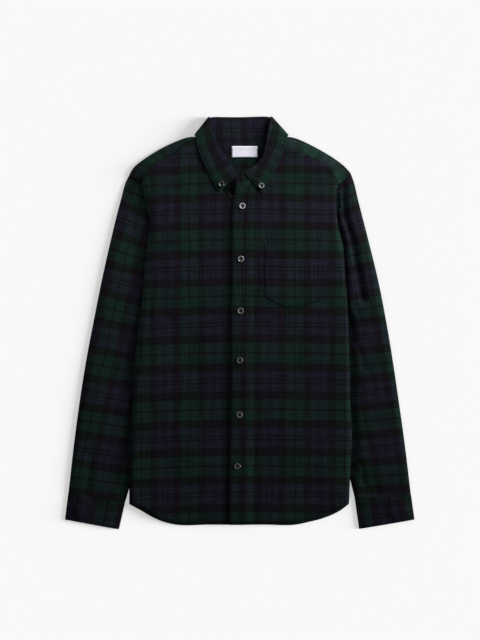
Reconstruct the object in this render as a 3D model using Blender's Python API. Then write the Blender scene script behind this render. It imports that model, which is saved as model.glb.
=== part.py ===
"""Long-sleeve button-down shirt laid flat on its back: the cut and sewn pieces as cloth walls.

Frame: X to the viewer's right, Y from the hem to the collar, Z up; the shirt lies on the plane Z = 0.
Plan sizes below are in millimetres and are turned into metres where a mesh is made.
"left" and "right" are the viewer's, looking down on the front of the shirt.
"""

import math

import bmesh
import bpy
from mathutils import Vector

MM = 0.001

# Cloth walls and clearances
CLOTH = 1.2             # one ply of shirting with its seam allowance
COLLAR_LEAF_WALL = 1.4
COLLAR_STAND_WALL = 1.4
CUFF_WALL = 1.6
LABEL_WALL = 1.0
SEAM_GAP = 0.4          # between two plies that lie on each other
TOUCH_GAP = 0.3         # between pieces that are sewn edge to edge
PLY = CLOTH + SEAM_GAP  # height of one more ply of shirting

# Buttons
FRONT_BUTTON_RADIUS = 5.9
SMALL_BUTTON_RADIUS = 5.2
BUTTON_HEIGHT = 2.4
BUTTON_RIM = 0.9
BUTTON_DISH = 0.6
BUTTON_SIDES = 16

# Heights of the pieces that cross at the neck
NECK_RAISE = 1.7        # yoke lifted over the back of the collar leaf
STAND_BACK_Z = 1.7
STAND_SIDE_Z = 3.6
STAND_END_Z = 3.2
LEAF_WING_Z = 5.4
SLEEVE_LIFT = 3.1       # body lifted over the sleeve tucked under it

# Where each lift starts and ends: heights, or distances from the middle
FRONT_NECK_RAMP = (318.0, 340.0)
YOKE_NECK_RAMP = (335.0, 350.0)
NECK_SIDE_RAMP = (100.0, 124.0)
CUFF_LIFT_RAMP = (-378.0, -342.0)
ARMPIT_LIFT_RAMP = (2.0, 27.0)     # above the underarm

# Lengths of the soft steps between two heights
SLEEVE_RAMP = 20.0
CENTRE_RAMP = 18.0
CUFF_DOME_RAMP = (12.0, 24.0)      # distances from the button under a cuff

# Inner fold of the sleeve under the body
HIDDEN_FOLD_INSET = 6.0
ARMHOLE_ALLOWANCE = 60.0
ARMHOLE_TOP_Y = 242.0

PLACKET_WIDTH = 31.0
UNDER_FRONT_REACH = 28.0   # how far the under front runs past the placket's edge

UNDERARM_Y = 62.0
TUCK_Y = 5.0
CUFF_INNER_Y = -338.0
HEM_Y = -393.8
HEM_TURN_Y = -353.0     # where the side edges turn into the curved hem
BACK_SEAM_Y = 262.0

# Side of the body below the shoulder: height, left edge, right edge
BODY_SIDE = (
    (-353.0, -215.4, 213.0),
    (-266.0, -214.8, 216.5),
    (-229.0, -212.8, 218.5),
    (-156.0, -208.8, 215.4),
    (-57.0, -202.5, 213.0),
    (62.0, -189.0, 208.6),
    (128.0, -180.2, 201.3),
    (150.0, -177.5, 199.6),
    (167.0, -175.5, 194.5),
    (196.5, -172.1, 188.3),
    (220.0, -176.0, 185.7),
    (232.0, -178.9, 185.5),
    (259.0, -184.8, 186.0),
    (268.0, -187.0, 190.4),
)

# Hem of the body: x, height of the lower edge
HEM = (
    (-215.4, -353.4),
    (-194.5, -365.1),
    (-167.2, -380.7),
    (-147.7, -388.5),
    (-128.0, HEM_Y),
    (112.0, HEM_Y),
    (135.0, -388.5),
    (164.3, -380.7),
    (197.4, -365.1),
    (213.0, -352.8),
)

# Neckline of each front below the yoke seam, from the seam to the centre: x, height
LEFT_NECKLINE = ((-69.5, 333.5), (-50.0, 292.8), (-26.2, 261.5), (-12.0, 247.3), (16.0, 246.0))
RIGHT_NECKLINE = ((67.6, 324.4), (50.8, 291.6), (38.0, 278.6), (25.9, 268.0), (-9.3, 262.9))

# Left edge of the placket: height, x
PLACKET_EDGE = (
    (HEM_Y, -20.6),
    (-265.7, -19.6),
    (-156.5, -17.6),
    (61.9, -15.7),
    (237.4, -12.4),
    (262.9, -9.1),
)

# Heights of the rows that the front and back share
BODY_ROWS = (-335.0, -290.0, -240.0, -190.0, -140.0, -90.0, -42.0,
             5.0, 62.0, 90.0, 130.0, 167.0, 196.5, 228.0)
FRONT_TOP_ROWS = 4

# Inner side of each sleeve from the shoulder tip to the tuck under the body: x, y, then the height
# on the outer edge that it faces; the armhole rows between take their x from the body's side
LEFT_SLEEVE_TOP = ((-194.4, 278.4, 288.3), (-188.4, 268.0, 277.0))
RIGHT_SLEEVE_TOP = ((197.6, 274.2, 291.8), (191.8, 266.0, 279.0))
ARMHOLE_ROWS = ((228.0, 238.0), (196.5, 209.0), (167.0, 181.0), (130.0, 146.0), (90.0, 107.0), (62.0, 79.0))
LEFT_TUCK = ((-154.0, 33.0, 58.0), (-118.0, 5.0, 38.0))
RIGHT_TUCK = ((174.0, 33.0, 58.0), (138.0, 5.0, 38.0))

# Outer edge of the sleeves: height, left x, right x
SLEEVE_EDGE = (
    (-332.6, -333.6, 333.0),
    (-228.6, -322.0, 320.5),
    (-150.6, -311.5, 309.5),
    (-72.6, -299.0, 298.0),
    (5.4, -284.2, 284.9),
    (83.4, -268.6, 269.5),
    (161.4, -251.1, 250.5),
    (239.4, -231.6, 230.6),
    (278.0, -220.2, 221.0),
    (288.3, -216.4, 218.4),
    (291.8, -214.0, 217.2),
)
LEFT_CUFF = {"outer": (-333.4, -329.3), "inner": (-224.7, -351.5),
             "outer_end": (-340.2, -383.7), "inner_end": (-236.4, -402.8)}
RIGHT_CUFF = {"outer": (333.2, -333.2), "inner": (224.7, -341.0),
              "outer_end": (340.2, -383.9), "inner_end": (233.5, -402.0)}
SLEEVE_LOWER_ROWS = 8
SLEEVE_COLUMNS = 7
FOLD_INSET = 1.6        # how far the side folds take to turn

# Yoke: x on the back seam, shoulder fold x, y, then front seam x, y
LEFT_SHOULDER = (
    (-185.4, -215.6, 288.9, -186.0, 271.8),
    (-182.0, -209.0, 302.0, -177.6, 289.0),
    (-174.0, -196.5, 313.0, -171.8, 303.4),
    (-157.0, -173.1, 329.1, -156.8, 314.4),
    (-139.0, -147.0, 344.0, -138.8, 323.8),
    (-118.0, -121.0, 355.6, -117.8, 336.8),
    (-97.0, -99.0, 363.6, -96.6, 355.4),
    (-76.0, -79.0, 361.8, -78.0, 359.0),
)
RIGHT_SHOULDER = (
    (76.0, 79.0, 361.8, 75.0, 342.2),
    (97.0, 99.0, 363.4, 94.1, 337.2),
    (118.0, 119.0, 356.8, 116.3, 332.5),
    (139.0, 143.0, 345.0, 133.9, 322.1),
    (157.0, 172.1, 329.1, 158.2, 311.7),
    (172.0, 196.0, 313.0, 175.8, 301.2),
    (181.0, 208.0, 302.0, 181.2, 292.2),
    (185.6, 216.2, 292.2, 190.2, 271.0),
)
NECK_STATIONS = ((-60.0, 360.2), (-20.0, 359.4), (20.0, 359.4), (60.0, 360.2))
YOKE_ROW_Y = (300.0, 335.0, 350.0)
YOKE_ROW_SHARE = (0.3, 0.5, 0.75)
# Yoke's two last columns at each armhole, above the back seam: end x, y, next column x, y
LEFT_YOKE_END = (
    (-187.0, 268.0, -184.0, 268.5),
    (-189.8, 273.5, -186.6, 275.5),
    (-194.2, 279.3, -192.0, 285.5),
)
RIGHT_YOKE_END = (
    (188.6, 265.0, 184.6, 267.0),
    (191.4, 269.5, 187.4, 273.0),
    (197.4, 275.2, 193.5, 283.0),
)

# Collar stand, left end to right end: neck edge x, y, upper edge x, y, wall's lower face
STAND_LEFT = (
    (-28.5, 273.0, -9.5, 295.0, STAND_END_Z),
    (-52.5, 299.5, -26.0, 318.5, STAND_END_Z),
    (-68.4, 334.5, -46.5, 353.5, STAND_END_Z),
    (-74.2, 356.0, -56.0, 386.0, STAND_SIDE_Z),
)
STAND_BACK = (
    (-70.0, 361.5, -57.0, 397.0, STAND_BACK_Z),
    (-40.0, 360.8, -35.0, 398.8, STAND_BACK_Z),
    (0.0, 360.3, 0.0, 398.6, STAND_BACK_Z),
    (40.0, 360.8, 36.0, 399.4, STAND_BACK_Z),
    (71.0, 361.5, 58.5, 398.4, STAND_BACK_Z),
)
STAND_RIGHT = (
    (74.6, 356.0, 57.4, 386.0, STAND_SIDE_Z),
    (66.4, 325.0, 50.5, 350.5, STAND_END_Z),
    (50.2, 292.4, 43.0, 321.0, STAND_END_Z),
    (25.6, 269.0, 32.6, 307.2, STAND_END_Z),
    (8.0, 266.5, 6.8, 292.0, STAND_END_Z),
    (-6.0, 264.6, -6.8, 283.6, STAND_END_Z),
)

# Turn of the stand at each end of the back: neck edge x, y, upper edge x, y
STAND_LEFT_TURN = (-75.4, 362.0, -60.2, 397.0)
STAND_RIGHT_TURN = (76.0, 362.0, 62.0, 398.0)
STAND_TURN_INSET = 2.0
STAND_TURN_STEPS = 3
STAND_SHARES = (0.0, 0.5, 1.0)

# Collar leaf, point to point: inner edge x, y, free edge x, y, lower face at the inner and free edges
LEAF_LEFT = (
    (-2.6, 291.6, -39.0, 254.4, 5.2, 3.4),
    (-11.0, 303.0, -49.8, 270.0, LEAF_WING_Z, 3.8),
    (-21.0, 315.4, -60.4, 292.0, LEAF_WING_Z, 4.2),
    (-33.5, 334.0, -69.5, 310.0, LEAF_WING_Z, 4.6),
    (-44.5, 354.0, -77.5, 327.0, LEAF_WING_Z, 5.0),
    (-54.0, 380.0, -84.6, 350.0, LEAF_WING_Z, LEAF_WING_Z),
)
LEAF_RIGHT = (
    (56.6, 378.0, 91.6, 350.0, LEAF_WING_Z, LEAF_WING_Z),
    (51.5, 348.0, 85.3, 333.0, LEAF_WING_Z, 5.0),
    (45.3, 321.8, 78.5, 318.0, LEAF_WING_Z, 4.6),
    (33.6, 305.7, 70.0, 300.0, LEAF_WING_Z, 4.2),
    (20.0, 297.0, 57.5, 275.5, LEAF_WING_Z, 3.8),
    (7.5, 289.5, 44.4, 252.2, 5.2, 3.7),
)
# Turn of the leaf at each end of the back: inner edge x, y, free edge x, y
LEAF_LEFT_TURN = (-61.1, 401.8, -89.2, 366.4)
LEAF_RIGHT_TURN = (62.7, 402.8, 95.4, 366.2)
LEAF_BACK = (
    (-54.0, 402.0, -70.0, 357.0, 0.0, 0.0),
    (-30.0, 401.4, -35.0, 355.5, 0.0, 0.0),
    (0.0, 401.0, 0.0, 355.0, 0.0, 0.0),
    (30.0, 402.0, 36.0, 355.5, 0.0, 0.0),
    (55.0, 402.8, 74.0, 357.0, 0.0, 0.0),
)
LEAF_SHARES = (0.0, 0.42, 0.76, 1.0)
TURN_STEPS = 4

# Chest pocket and neck label: named edges
POCKET = {"left": 48.7, "right": 156.1, "top": 152.6, "left_corner": 51.2, "right_corner": 45.1,
          "point_x": 99.9, "point_y": 30.7}
POCKET_COLUMNS = 8
LABEL = {"left": -15.3, "right": 34.6, "bottom": 323.2, "top": 344.5}

# Front buttons: x, y; collar-point buttons: side, x, y, height of their seat on the leaf
FRONT_BUTTONS = (
    (5.2, 226.9), (2.4, 124.1), (1.9, 23.3), (0.3, -73.0), (-0.3, -178.5), (-4.8, -278.6),
)
COLLAR_BUTTONS = (("left", -35.4, 269.4, 6.7), ("right", 42.4, 266.3, 6.05))

# Materials: colour, roughness, metallic
MATERIALS = {
    "tartan_cloth": ((0.012, 0.020, 0.020, 1.0), 0.9, 0.0),
    "label_cloth": ((0.74, 0.72, 0.80, 1.0), 0.7, 0.0),
    "smoked_button": ((0.16, 0.15, 0.15, 1.0), 0.25, 0.0),
}


def clear_scene():
    """Remove the objects of the opened file."""
    for obj in list(bpy.data.objects):
        bpy.data.objects.remove(obj, do_unlink=True)


def material(slot):
    """The Principled material of a slot, made once."""
    found = bpy.data.materials.get(slot)
    if found:
        return found
    colour, roughness, metallic = MATERIALS[slot]
    made = bpy.data.materials.new(slot)
    made.use_nodes = True
    shader = made.node_tree.nodes["Principled BSDF"]
    shader.inputs["Base Color"].default_value = colour
    shader.inputs["Roughness"].default_value = roughness
    shader.inputs["Metallic"].default_value = metallic
    made.diffuse_color = colour
    return made


def lerp(a, b, share):
    """The value a share of the way from a to b."""
    return a + (b - a) * share


def ramp(value, start, end):
    """0 at start, 1 at end, straight between them."""
    return min(1.0, max(0.0, (value - start) / (end - start)))


def read_table(table, key, column):
    """Straight-line reading of a table sorted by its first column."""
    if key <= table[0][0]:
        return table[0][column]
    for low, high in zip(table, table[1:]):
        if key <= high[0]:
            return lerp(low[column], high[column], (key - low[0]) / (high[0] - low[0]))
    return table[-1][column]


def make_object(name, points, faces, slot):
    """A mesh object from points in millimetres, its faces turned outward."""
    mesh = bpy.data.meshes.new(name)
    work = bmesh.new()
    corners = [work.verts.new(Vector(point) * MM) for point in points]
    for face in faces:
        work.faces.new([corners[index] for index in face])
    bmesh.ops.recalc_face_normals(work, faces=work.faces)
    work.to_mesh(mesh)
    work.free()
    mesh.materials.append(material(slot))
    obj = bpy.data.objects.new(name, mesh)
    bpy.context.scene.collection.objects.link(obj)
    return obj


def grid_faces(rows, columns, start=0, close_columns=False):
    """Triangles of a grid of points numbered row by row from start.

    Plies that lie on each other are cut along the same diagonals, so the second half of a ring,
    which runs back over the first, takes the other diagonal.
    """
    faces = []
    for r in range(rows - 1):
        for c in range(columns if close_columns else columns - 1):
            c2 = (c + 1) % columns
            low, high = start + r * columns, start + (r + 1) * columns
            if close_columns and c >= columns / 2:
                faces.append((low + c, low + c2, high + c))
                faces.append((low + c2, high + c2, high + c))
            else:
                faces.append((low + c, low + c2, high + c2))
                faces.append((low + c, high + c2, high + c))
    return faces


def border_loop(rows, columns):
    """Indices around the border of a grid, once round."""
    loop = list(range(columns))
    loop += [r * columns + columns - 1 for r in range(1, rows)]
    loop += [(rows - 1) * columns + c for c in range(columns - 2, -1, -1)]
    loop += [r * columns for r in range(rows - 2, 0, -1)]
    return loop


def flat_panel(name, grid, wall, slot):
    """A wall that lies flat: the grid is its lower face, the upper one is straight above it."""
    rows, columns = len(grid), len(grid[0])
    lower = [point for row in grid for point in row]
    upper = [(x, y, z + wall) for x, y, z in lower]
    count = len(lower)
    faces = grid_faces(rows, columns) + grid_faces(rows, columns, count)
    loop = border_loop(rows, columns)
    for a, b in zip(loop, loop[1:] + loop[:1]):
        faces.append((a, b, b + count, a + count))
    return make_object(name, lower + upper, faces, slot)


def solid_sheet(name, points, faces, wall, slot):
    """A wall around a middle surface, its two faces half a wall to each side."""
    obj = make_object(name, points, faces, slot)
    thicken = obj.modifiers.new("Wall", "SOLIDIFY")
    thicken.thickness = wall * MM
    thicken.offset = 0.0
    thicken.use_even_offset = True
    return obj


def side_edge(side, y):
    """Edge of the body on a side at a height."""
    return read_table(BODY_SIDE, y, 1 if side == "left" else 2)


def hidden_sleeve_edge(side, y):
    """Inner fold of the sleeve under the body, never closer than a little way inside the edge."""
    sign = -1.0 if side == "left" else 1.0
    edge = side_edge(side, y)
    tuck = LEFT_TUCK[-1][0] if side == "left" else RIGHT_TUCK[-1][0]
    narrow = edge - sign * HIDDEN_FOLD_INSET
    if y <= TUCK_Y:
        low = side_edge(side, CUFF_INNER_Y)
        inner = lerp(low, tuck, ramp(y, CUFF_INNER_Y, TUCK_Y))
    elif y <= UNDERARM_Y:
        inner = lerp(tuck, side_edge(side, UNDERARM_Y), ramp(y, TUCK_Y, UNDERARM_Y))
    else:
        inner = edge - sign * ARMHOLE_ALLOWANCE * ramp(y, UNDERARM_Y - SLEEVE_RAMP, ARMHOLE_TOP_Y)
    inner -= sign * 1.5
    return max(inner, narrow) if side == "left" else min(inner, narrow)


def sleeve_lift(y):
    """How far the side of the body is lifted over the sleeve at a height."""
    above_cuff = ramp(y, *CUFF_LIFT_RAMP)
    below_armpit = 1.0 - ramp(y - UNDERARM_Y, *ARMPIT_LIFT_RAMP)
    return SLEEVE_LIFT * min(above_cuff, below_armpit)


def placket_edge(y):
    """Left edge of the placket at a height."""
    return read_table(PLACKET_EDGE, y, 1)


def outer_columns(side, y):
    """Columns of the body from the side edge to the foot of the step over the sleeve: x, lift."""
    sign = -1.0 if side == "left" else 1.0
    edge = side_edge(side, y)
    inner = hidden_sleeve_edge(side, y)
    lift = sleeve_lift(y)
    columns = [(lerp(edge, inner, share), lift) for share in (0.0, 1 / 3, 2 / 3, 1.0)]
    columns.append((inner - sign * SLEEVE_RAMP, 0.0))
    return columns


def body_row(side, y, centre_xs):
    """One row of half the body: outer columns, even columns, then the given centre ones."""
    outer = outer_columns(side, y)
    foot = outer[-1][0]
    first = centre_xs[0]
    even = [(lerp(foot, first, step / 6), 0.0) for step in range(1, 6)]
    return outer + even + [(x, 0.0) for x in centre_xs]


def hem_row(side, centre_xs):
    """The lowest row of half the body, on the curved hem."""
    row = body_row(side, HEM_TURN_Y, centre_xs)
    low = sleeve_lift(HEM_TURN_Y)
    return [(x, read_table(HEM, x, 1), low if lift else 0.0) for x, lift in row]


def neck_raise(x, y, start, end):
    """Lift of a ply over the back of the collar leaf."""
    return NECK_RAISE * ramp(y, start, end) * (1.0 - ramp(abs(x), *NECK_SIDE_RAMP))


def build_back():
    """Back panel: hem to the back yoke seam, lifted over the sleeves tucked under it."""
    centre_left = (-30.0,)
    centre_right = (30.0,)

    def joined(left, right):
        return left + right[::-1]

    grid = [joined(hem_row("left", centre_left), hem_row("right", centre_right))]
    for y in BODY_ROWS + (BACK_SEAM_Y - 0.3,):
        row = joined(body_row("left", y, centre_left), body_row("right", y, centre_right))
        grid.append([(x, y, lift) for x, lift in row])
    flat_panel("back", grid, CLOTH, "tartan_cloth")


def front_top(side):
    """Upper edge of a front, side to centre: just below the yoke seam, then along the neckline."""
    if side == "left":
        seam = [row[3:5] for row in LEFT_SHOULDER]
        neckline = LEFT_NECKLINE
    else:
        seam = [row[3:5] for row in reversed(RIGHT_SHOULDER)]
        neckline = RIGHT_NECKLINE
    return [(x, y - TOUCH_GAP * 2.0) for x, y in seam] + list(neckline)


def front_grid(side, centre_xs, centre_lifts):
    """Lower face of a front: rows shared with the back, then rows up to the yoke seam and neck."""
    count = len(centre_lifts)

    def height(x, y, lift, column, columns):
        from_centre = column - (columns - count)
        extra = centre_lifts[from_centre] if from_centre >= 0 else 0.0
        return PLY + lift + extra + neck_raise(x, y, *FRONT_NECK_RAMP)

    low = hem_row(side, centre_xs(HEM_Y))
    columns = len(low)
    grid = [[(x, y, height(x, y, lift, c, columns)) for c, (x, y, lift) in enumerate(low)]]
    for y in BODY_ROWS:
        row = body_row(side, y, centre_xs(y))
        grid.append([(x, y, height(x, y, lift, c, columns)) for c, (x, lift) in enumerate(row)])
    last = grid[-1]
    top = front_top(side)
    for step in range(1, FRONT_TOP_ROWS + 1):
        row = []
        for c in range(columns):
            x = lerp(last[c][0], top[c][0], step / FRONT_TOP_ROWS)
            y = lerp(last[c][1], top[c][1], step / FRONT_TOP_ROWS)
            row.append((x, y, height(x, y, 0.0, c, columns)))
        grid.append(row)
    return grid if side == "left" else [row[::-1] for row in grid]


def build_fronts():
    """The under front on the left and the upper front on the right."""
    def left_centre(y):
        edge = placket_edge(y)
        return (edge - 12.0, edge + 2.0, edge + UNDER_FRONT_REACH)

    def right_centre(y):
        edge = placket_edge(y)
        flat = edge + PLACKET_WIDTH + 1.5
        return (flat + CENTRE_RAMP, flat, edge)

    left = front_grid("left", left_centre, (0.0, 0.0, 0.0))
    flat_panel("front_left", left, CLOTH, "tartan_cloth")
    right = front_grid("right", right_centre, (0.0, PLY, PLY))
    flat_panel("front_right", right, CLOTH, "tartan_cloth")
    return right


def build_placket(front):
    """Buttonhole band: the front's points along its edge, moved out."""
    grid = []
    for row in front:
        x, y, z = row[0]
        inner_x, inner_y, _ = row[1]
        share = PLACKET_WIDTH / (inner_x - x)
        across = [(x, y), (lerp(x, inner_x, share / 2), lerp(y, inner_y, share / 2)),
                  (lerp(x, inner_x, share), lerp(y, inner_y, share))]
        grid.append([(px, py, z + CLOTH + TOUCH_GAP) for px, py in across])
    flat_panel("placket", grid, CLOTH, "tartan_cloth")


def build_pocket():
    """Patch pocket with a curved, pointed lower edge, on the upper front."""
    lower_face = PLY + CLOTH + TOUCH_GAP
    rows = 4
    grid = []
    for r in range(rows + 1):
        row = []
        for c in range(POCKET_COLUMNS + 1):
            x = lerp(POCKET["left"], POCKET["right"], c / POCKET_COLUMNS)
            if x < POCKET["point_x"]:
                share = (x - POCKET["left"]) / (POCKET["point_x"] - POCKET["left"])
                corner = POCKET["left_corner"]
            else:
                share = (POCKET["right"] - x) / (POCKET["right"] - POCKET["point_x"])
                corner = POCKET["right_corner"]
            bottom = lerp(corner, POCKET["point_y"], math.sin(share * math.pi / 2))
            row.append((x, lerp(bottom, POCKET["top"], r / rows), lower_face))
        grid.append(row)
    flat_panel("pocket", grid, CLOTH, "tartan_cloth")


def flat_tube(name, curves, wall, top_height, lift, slot):
    """A flattened tube: each curve runs across it from one side fold to the other.

    Its outer and inner rings share their plan, and its two ends are open.
    """
    def ring(curve, inset):
        first, second = Vector(curve[0]), Vector(curve[1])
        last, before = Vector(curve[-1]), Vector(curve[-2])
        start_way = (second - first).normalized()
        end_way = (before - last).normalized()
        plan = [first + start_way * (inset + FOLD_INSET)]
        plan += [Vector(point) for point in curve[1:-1]]
        plan.append(last + end_way * (inset + FOLD_INSET))
        start_fold = first + start_way * inset
        end_fold = last + end_way * inset

        def low(point):
            return lift(point.x, point.y) + inset

        def high(point):
            return lift(point.x, point.y) + top_height(point.x, point.y) - inset

        def middle(point):
            return (low(point) + high(point)) / 2

        points = [(start_fold.x, start_fold.y, middle(plan[0]))]
        points += [(p.x, p.y, low(p)) for p in plan]
        points.append((end_fold.x, end_fold.y, middle(plan[-1])))
        points += [(p.x, p.y, high(p)) for p in reversed(plan)]
        return points

    outer = [ring(curve, 0.0) for curve in curves]
    inner = [ring(curve, wall) for curve in curves]
    rows, columns = len(curves), len(outer[0])
    points = [p for row in outer for p in row] + [p for row in inner for p in row]
    count = rows * columns
    faces = grid_faces(rows, columns, 0, close_columns=True)
    faces += grid_faces(rows, columns, count, close_columns=True)
    for c in range(columns):
        c2 = (c + 1) % columns
        faces.append((c, c2, count + c2, count + c))
        end = (rows - 1) * columns
        faces.append((end + c, end + c2, count + end + c2, count + end + c))
    return make_object(name, points, faces, slot)


def sleeve_rows(side):
    """Lines across a sleeve: outer point, inner point, and whether the tube is closed there."""
    is_left = side == "left"
    sign = -1.0 if is_left else 1.0
    top = LEFT_SLEEVE_TOP if is_left else RIGHT_SLEEVE_TOP
    tuck = LEFT_TUCK if is_left else RIGHT_TUCK
    cuff = LEFT_CUFF if is_left else RIGHT_CUFF

    def outer(y):
        return (read_table(SLEEVE_EDGE, y, 1 if is_left else 2), y)

    rows = [(outer(facing), (x, y), False) for x, y, facing in top]
    for y, facing in ARMHOLE_ROWS:
        rows.append((outer(facing), (side_edge(side, y) + sign * 2.0 * TOUCH_GAP, y), False))
    rows += [(outer(facing), (x, y), y == TUCK_Y) for x, y, facing in tuck]
    start_x, start_y, start_facing = tuck[-1]
    end_x, end_y = cuff["inner"]
    end_y += 2.0 * TOUCH_GAP
    end_facing = cuff["outer"][1] + 2.0 * TOUCH_GAP
    for step in range(1, SLEEVE_LOWER_ROWS + 1):
        share = step / SLEEVE_LOWER_ROWS
        rows.append((outer(lerp(start_facing, end_facing, share)),
                     (lerp(start_x, end_x, share), lerp(start_y, end_y, share)), True))
    return rows


def build_sleeve(side):
    """A flattened sleeve: two plies joined at the outer fold, and at the inner fold below the tuck."""
    low, high = CLOTH / 2, CLOTH / 2 + PLY
    middle = (low + high) / 2
    points, lines, faces = [], [], []
    for outer, inner, closed in sleeve_rows(side):
        outer, inner = Vector(outer), Vector(inner)
        way = (inner - outer).normalized()
        start = outer + way * (CLOTH / 2 + FOLD_INSET)
        end = inner - way * (CLOTH / 2 + FOLD_INSET) if closed else inner
        plan = [start.lerp(end, c / SLEEVE_COLUMNS) for c in range(SLEEVE_COLUMNS + 1)]
        fold = outer + way * CLOTH / 2
        line = [(p.x, p.y, low) for p in reversed(plan)]
        line.append((fold.x, fold.y, middle))
        line += [(p.x, p.y, high) for p in plan]
        if closed:
            fold = inner - way * CLOTH / 2
            line.append((fold.x, fold.y, middle))
        lines.append((len(points), len(line), closed))
        points += line
    for (start_a, count_a, closed_a), (start_b, count_b, closed_b) in zip(lines, lines[1:]):
        shared = min(count_a, count_b)
        spans = [(c, c + 1) for c in range(shared - 1)]
        if closed_a and closed_b:
            spans.append((shared - 1, 0))
        for c, c2 in spans:
            faces.append((start_a + c, start_a + c2, start_b + c2, start_b + c))
    solid_sheet("sleeve_" + side, points, faces, CLOTH, "tartan_cloth")


def cuff_button_place(cuff):
    """Where the cuff's button sits on the underside: near the outer fold, half way down."""
    across, down = 0.3, 0.5
    outer_x = lerp(cuff["outer"][0], cuff["outer_end"][0], down)
    outer_y = lerp(cuff["outer"][1], cuff["outer_end"][1], down)
    inner_x = lerp(cuff["inner"][0], cuff["inner_end"][0], down)
    inner_y = lerp(cuff["inner"][1], cuff["inner_end"][1], down)
    return lerp(outer_x, inner_x, across), lerp(outer_y, inner_y, across)


def build_cuffs():
    """Both cuffs, each one turn of doubled cloth that rises over the button under it."""
    def thickness(x, y):
        return 2.0 * CUFF_WALL + SEAM_GAP

    for side, cuff in (("left", LEFT_CUFF), ("right", RIGHT_CUFF)):
        button_x, button_y = cuff_button_place(cuff)

        def over_button(x, y):
            away = math.dist((x, y), (button_x, button_y))
            return (BUTTON_HEIGHT + TOUCH_GAP) * (1.0 - ramp(away, *CUFF_DOME_RAMP))

        curves = []
        for down in (0.0, 0.33, 0.67, 1.0):
            outer_x = lerp(cuff["outer"][0], cuff["outer_end"][0], down)
            outer_y = lerp(cuff["outer"][1], cuff["outer_end"][1], down)
            inner_x = lerp(cuff["inner"][0], cuff["inner_end"][0], down)
            inner_y = lerp(cuff["inner"][1], cuff["inner_end"][1], down)
            curves.append([(lerp(outer_x, inner_x, across), lerp(outer_y, inner_y, across))
                           for across in (0.0, 0.08, 0.22, 0.38, 0.52, 0.7, 0.85, 1.0)])
        flat_tube("cuff_" + side, curves, CUFF_WALL, thickness, over_button, "tartan_cloth")
        add_button("button_cuff_" + side, button_x, button_y, 0.0, SMALL_BUTTON_RADIUS)


def build_yoke():
    """Yoke: a back part under the neck, folded over the shoulders to the front yoke seams."""
    points = []
    columns = []

    def middle(x, y):
        return CLOTH / 2 + neck_raise(x, y, *YOKE_NECK_RAMP)

    def add(x, y, z):
        points.append((x, y, z))
        return len(points) - 1

    stations = [dict(seam_x=row[0], fold=row[1:3], front=row[3:5]) for row in LEFT_SHOULDER]
    stations += [dict(seam_x=x, neck=(x, y)) for x, y in NECK_STATIONS]
    stations += [dict(seam_x=row[0], fold=row[1:3], front=row[3:5]) for row in RIGHT_SHOULDER]
    folds = [index for index, station in enumerate(stations) if "fold" in station]
    turn_radius = (CLOTH + SEAM_GAP) / 2
    turn_inset = turn_radius + CLOTH / 2

    for index, station in enumerate(stations):
        seam_x = station["seam_x"]
        is_fold = "fold" in station
        top = Vector(station["fold"] if is_fold else station["neck"])
        if is_fold:
            near = [n for n in (index - 1, index + 1) if n in folds]
            ends = [Vector(stations[n]["fold"]) for n in near]
            start = ends[0] if len(ends) == 2 or near[-1] < index else top
            along = (ends[-1] if near[-1] > index else top) - start
            inward = Vector((along.y, -along.x)).normalized()
            top = top + inward * turn_inset
        beside = {0: LEFT_YOKE_END, 1: LEFT_YOKE_END, len(stations) - 2: RIGHT_YOKE_END,
                  len(stations) - 1: RIGHT_YOKE_END}.get(index)
        if index in (0, len(stations) - 1):
            mids = [row[0:2] for row in beside]
        elif beside:
            mids = [row[2:4] for row in beside]
        elif abs(seam_x) < 110.0:
            mids = [(lerp(seam_x, top.x, ramp(y, BACK_SEAM_Y, top.y)), y) for y in YOKE_ROW_Y]
        else:
            mids = [(lerp(seam_x, top.x, share), lerp(BACK_SEAM_Y, top.y, share))
                    for share in YOKE_ROW_SHARE]
        column = [add(x, y, middle(x, y)) for x, y in [(seam_x, BACK_SEAM_Y)] + mids + [(top.x, top.y)]]
        if is_fold:
            base = middle(top.x, top.y)
            for step in (1, 2, 3):
                angle = math.pi * step / 3
                spot = top - inward * turn_radius * math.sin(angle)
                column.append(add(spot.x, spot.y, base + turn_radius * (1.0 - math.cos(angle))))
            end = station["front"]
            half = ((top.x + end[0]) / 2, (top.y + end[1]) / 2)
            if index in (0, len(stations) - 1):
                half = beside[-1][0:2]
            for x, y in (half, end):
                rise = max(neck_raise(x, y, *FRONT_NECK_RAMP), neck_raise(x, y, *YOKE_NECK_RAMP))
                column.append(add(x, y, PLY + CLOTH / 2 + rise))
        columns.append(column)

    faces = []
    for left, right in zip(columns, columns[1:]):
        shared = min(len(left), len(right))
        for r in range(shared - 1):
            faces.append((left[r], right[r], right[r + 1]))
            faces.append((left[r], right[r + 1], left[r + 1]))
    solid_sheet("yoke", points, faces, CLOTH, "tartan_cloth")


def build_label():
    """Bare label on the inside of the yoke."""
    grid = []
    middle_x = (LABEL["left"] + LABEL["right"]) / 2
    for y in (LABEL["bottom"], YOKE_ROW_Y[1], LABEL["top"]):
        z = CLOTH + TOUCH_GAP + neck_raise(0.0, y, *YOKE_NECK_RAMP)
        grid.append([(x, y, z) for x in (LABEL["left"], middle_x, LABEL["right"])])
    flat_panel("neck_label", grid, LABEL_WALL, "label_cloth")


def turned_band(name, rows, wall, slot):
    """A wall along a band: each row is the points of its middle surface across the band."""
    points = [point for row in rows for point in row]
    solid_sheet(name, points, grid_faces(len(rows), len(rows[0])), wall, slot)


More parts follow.
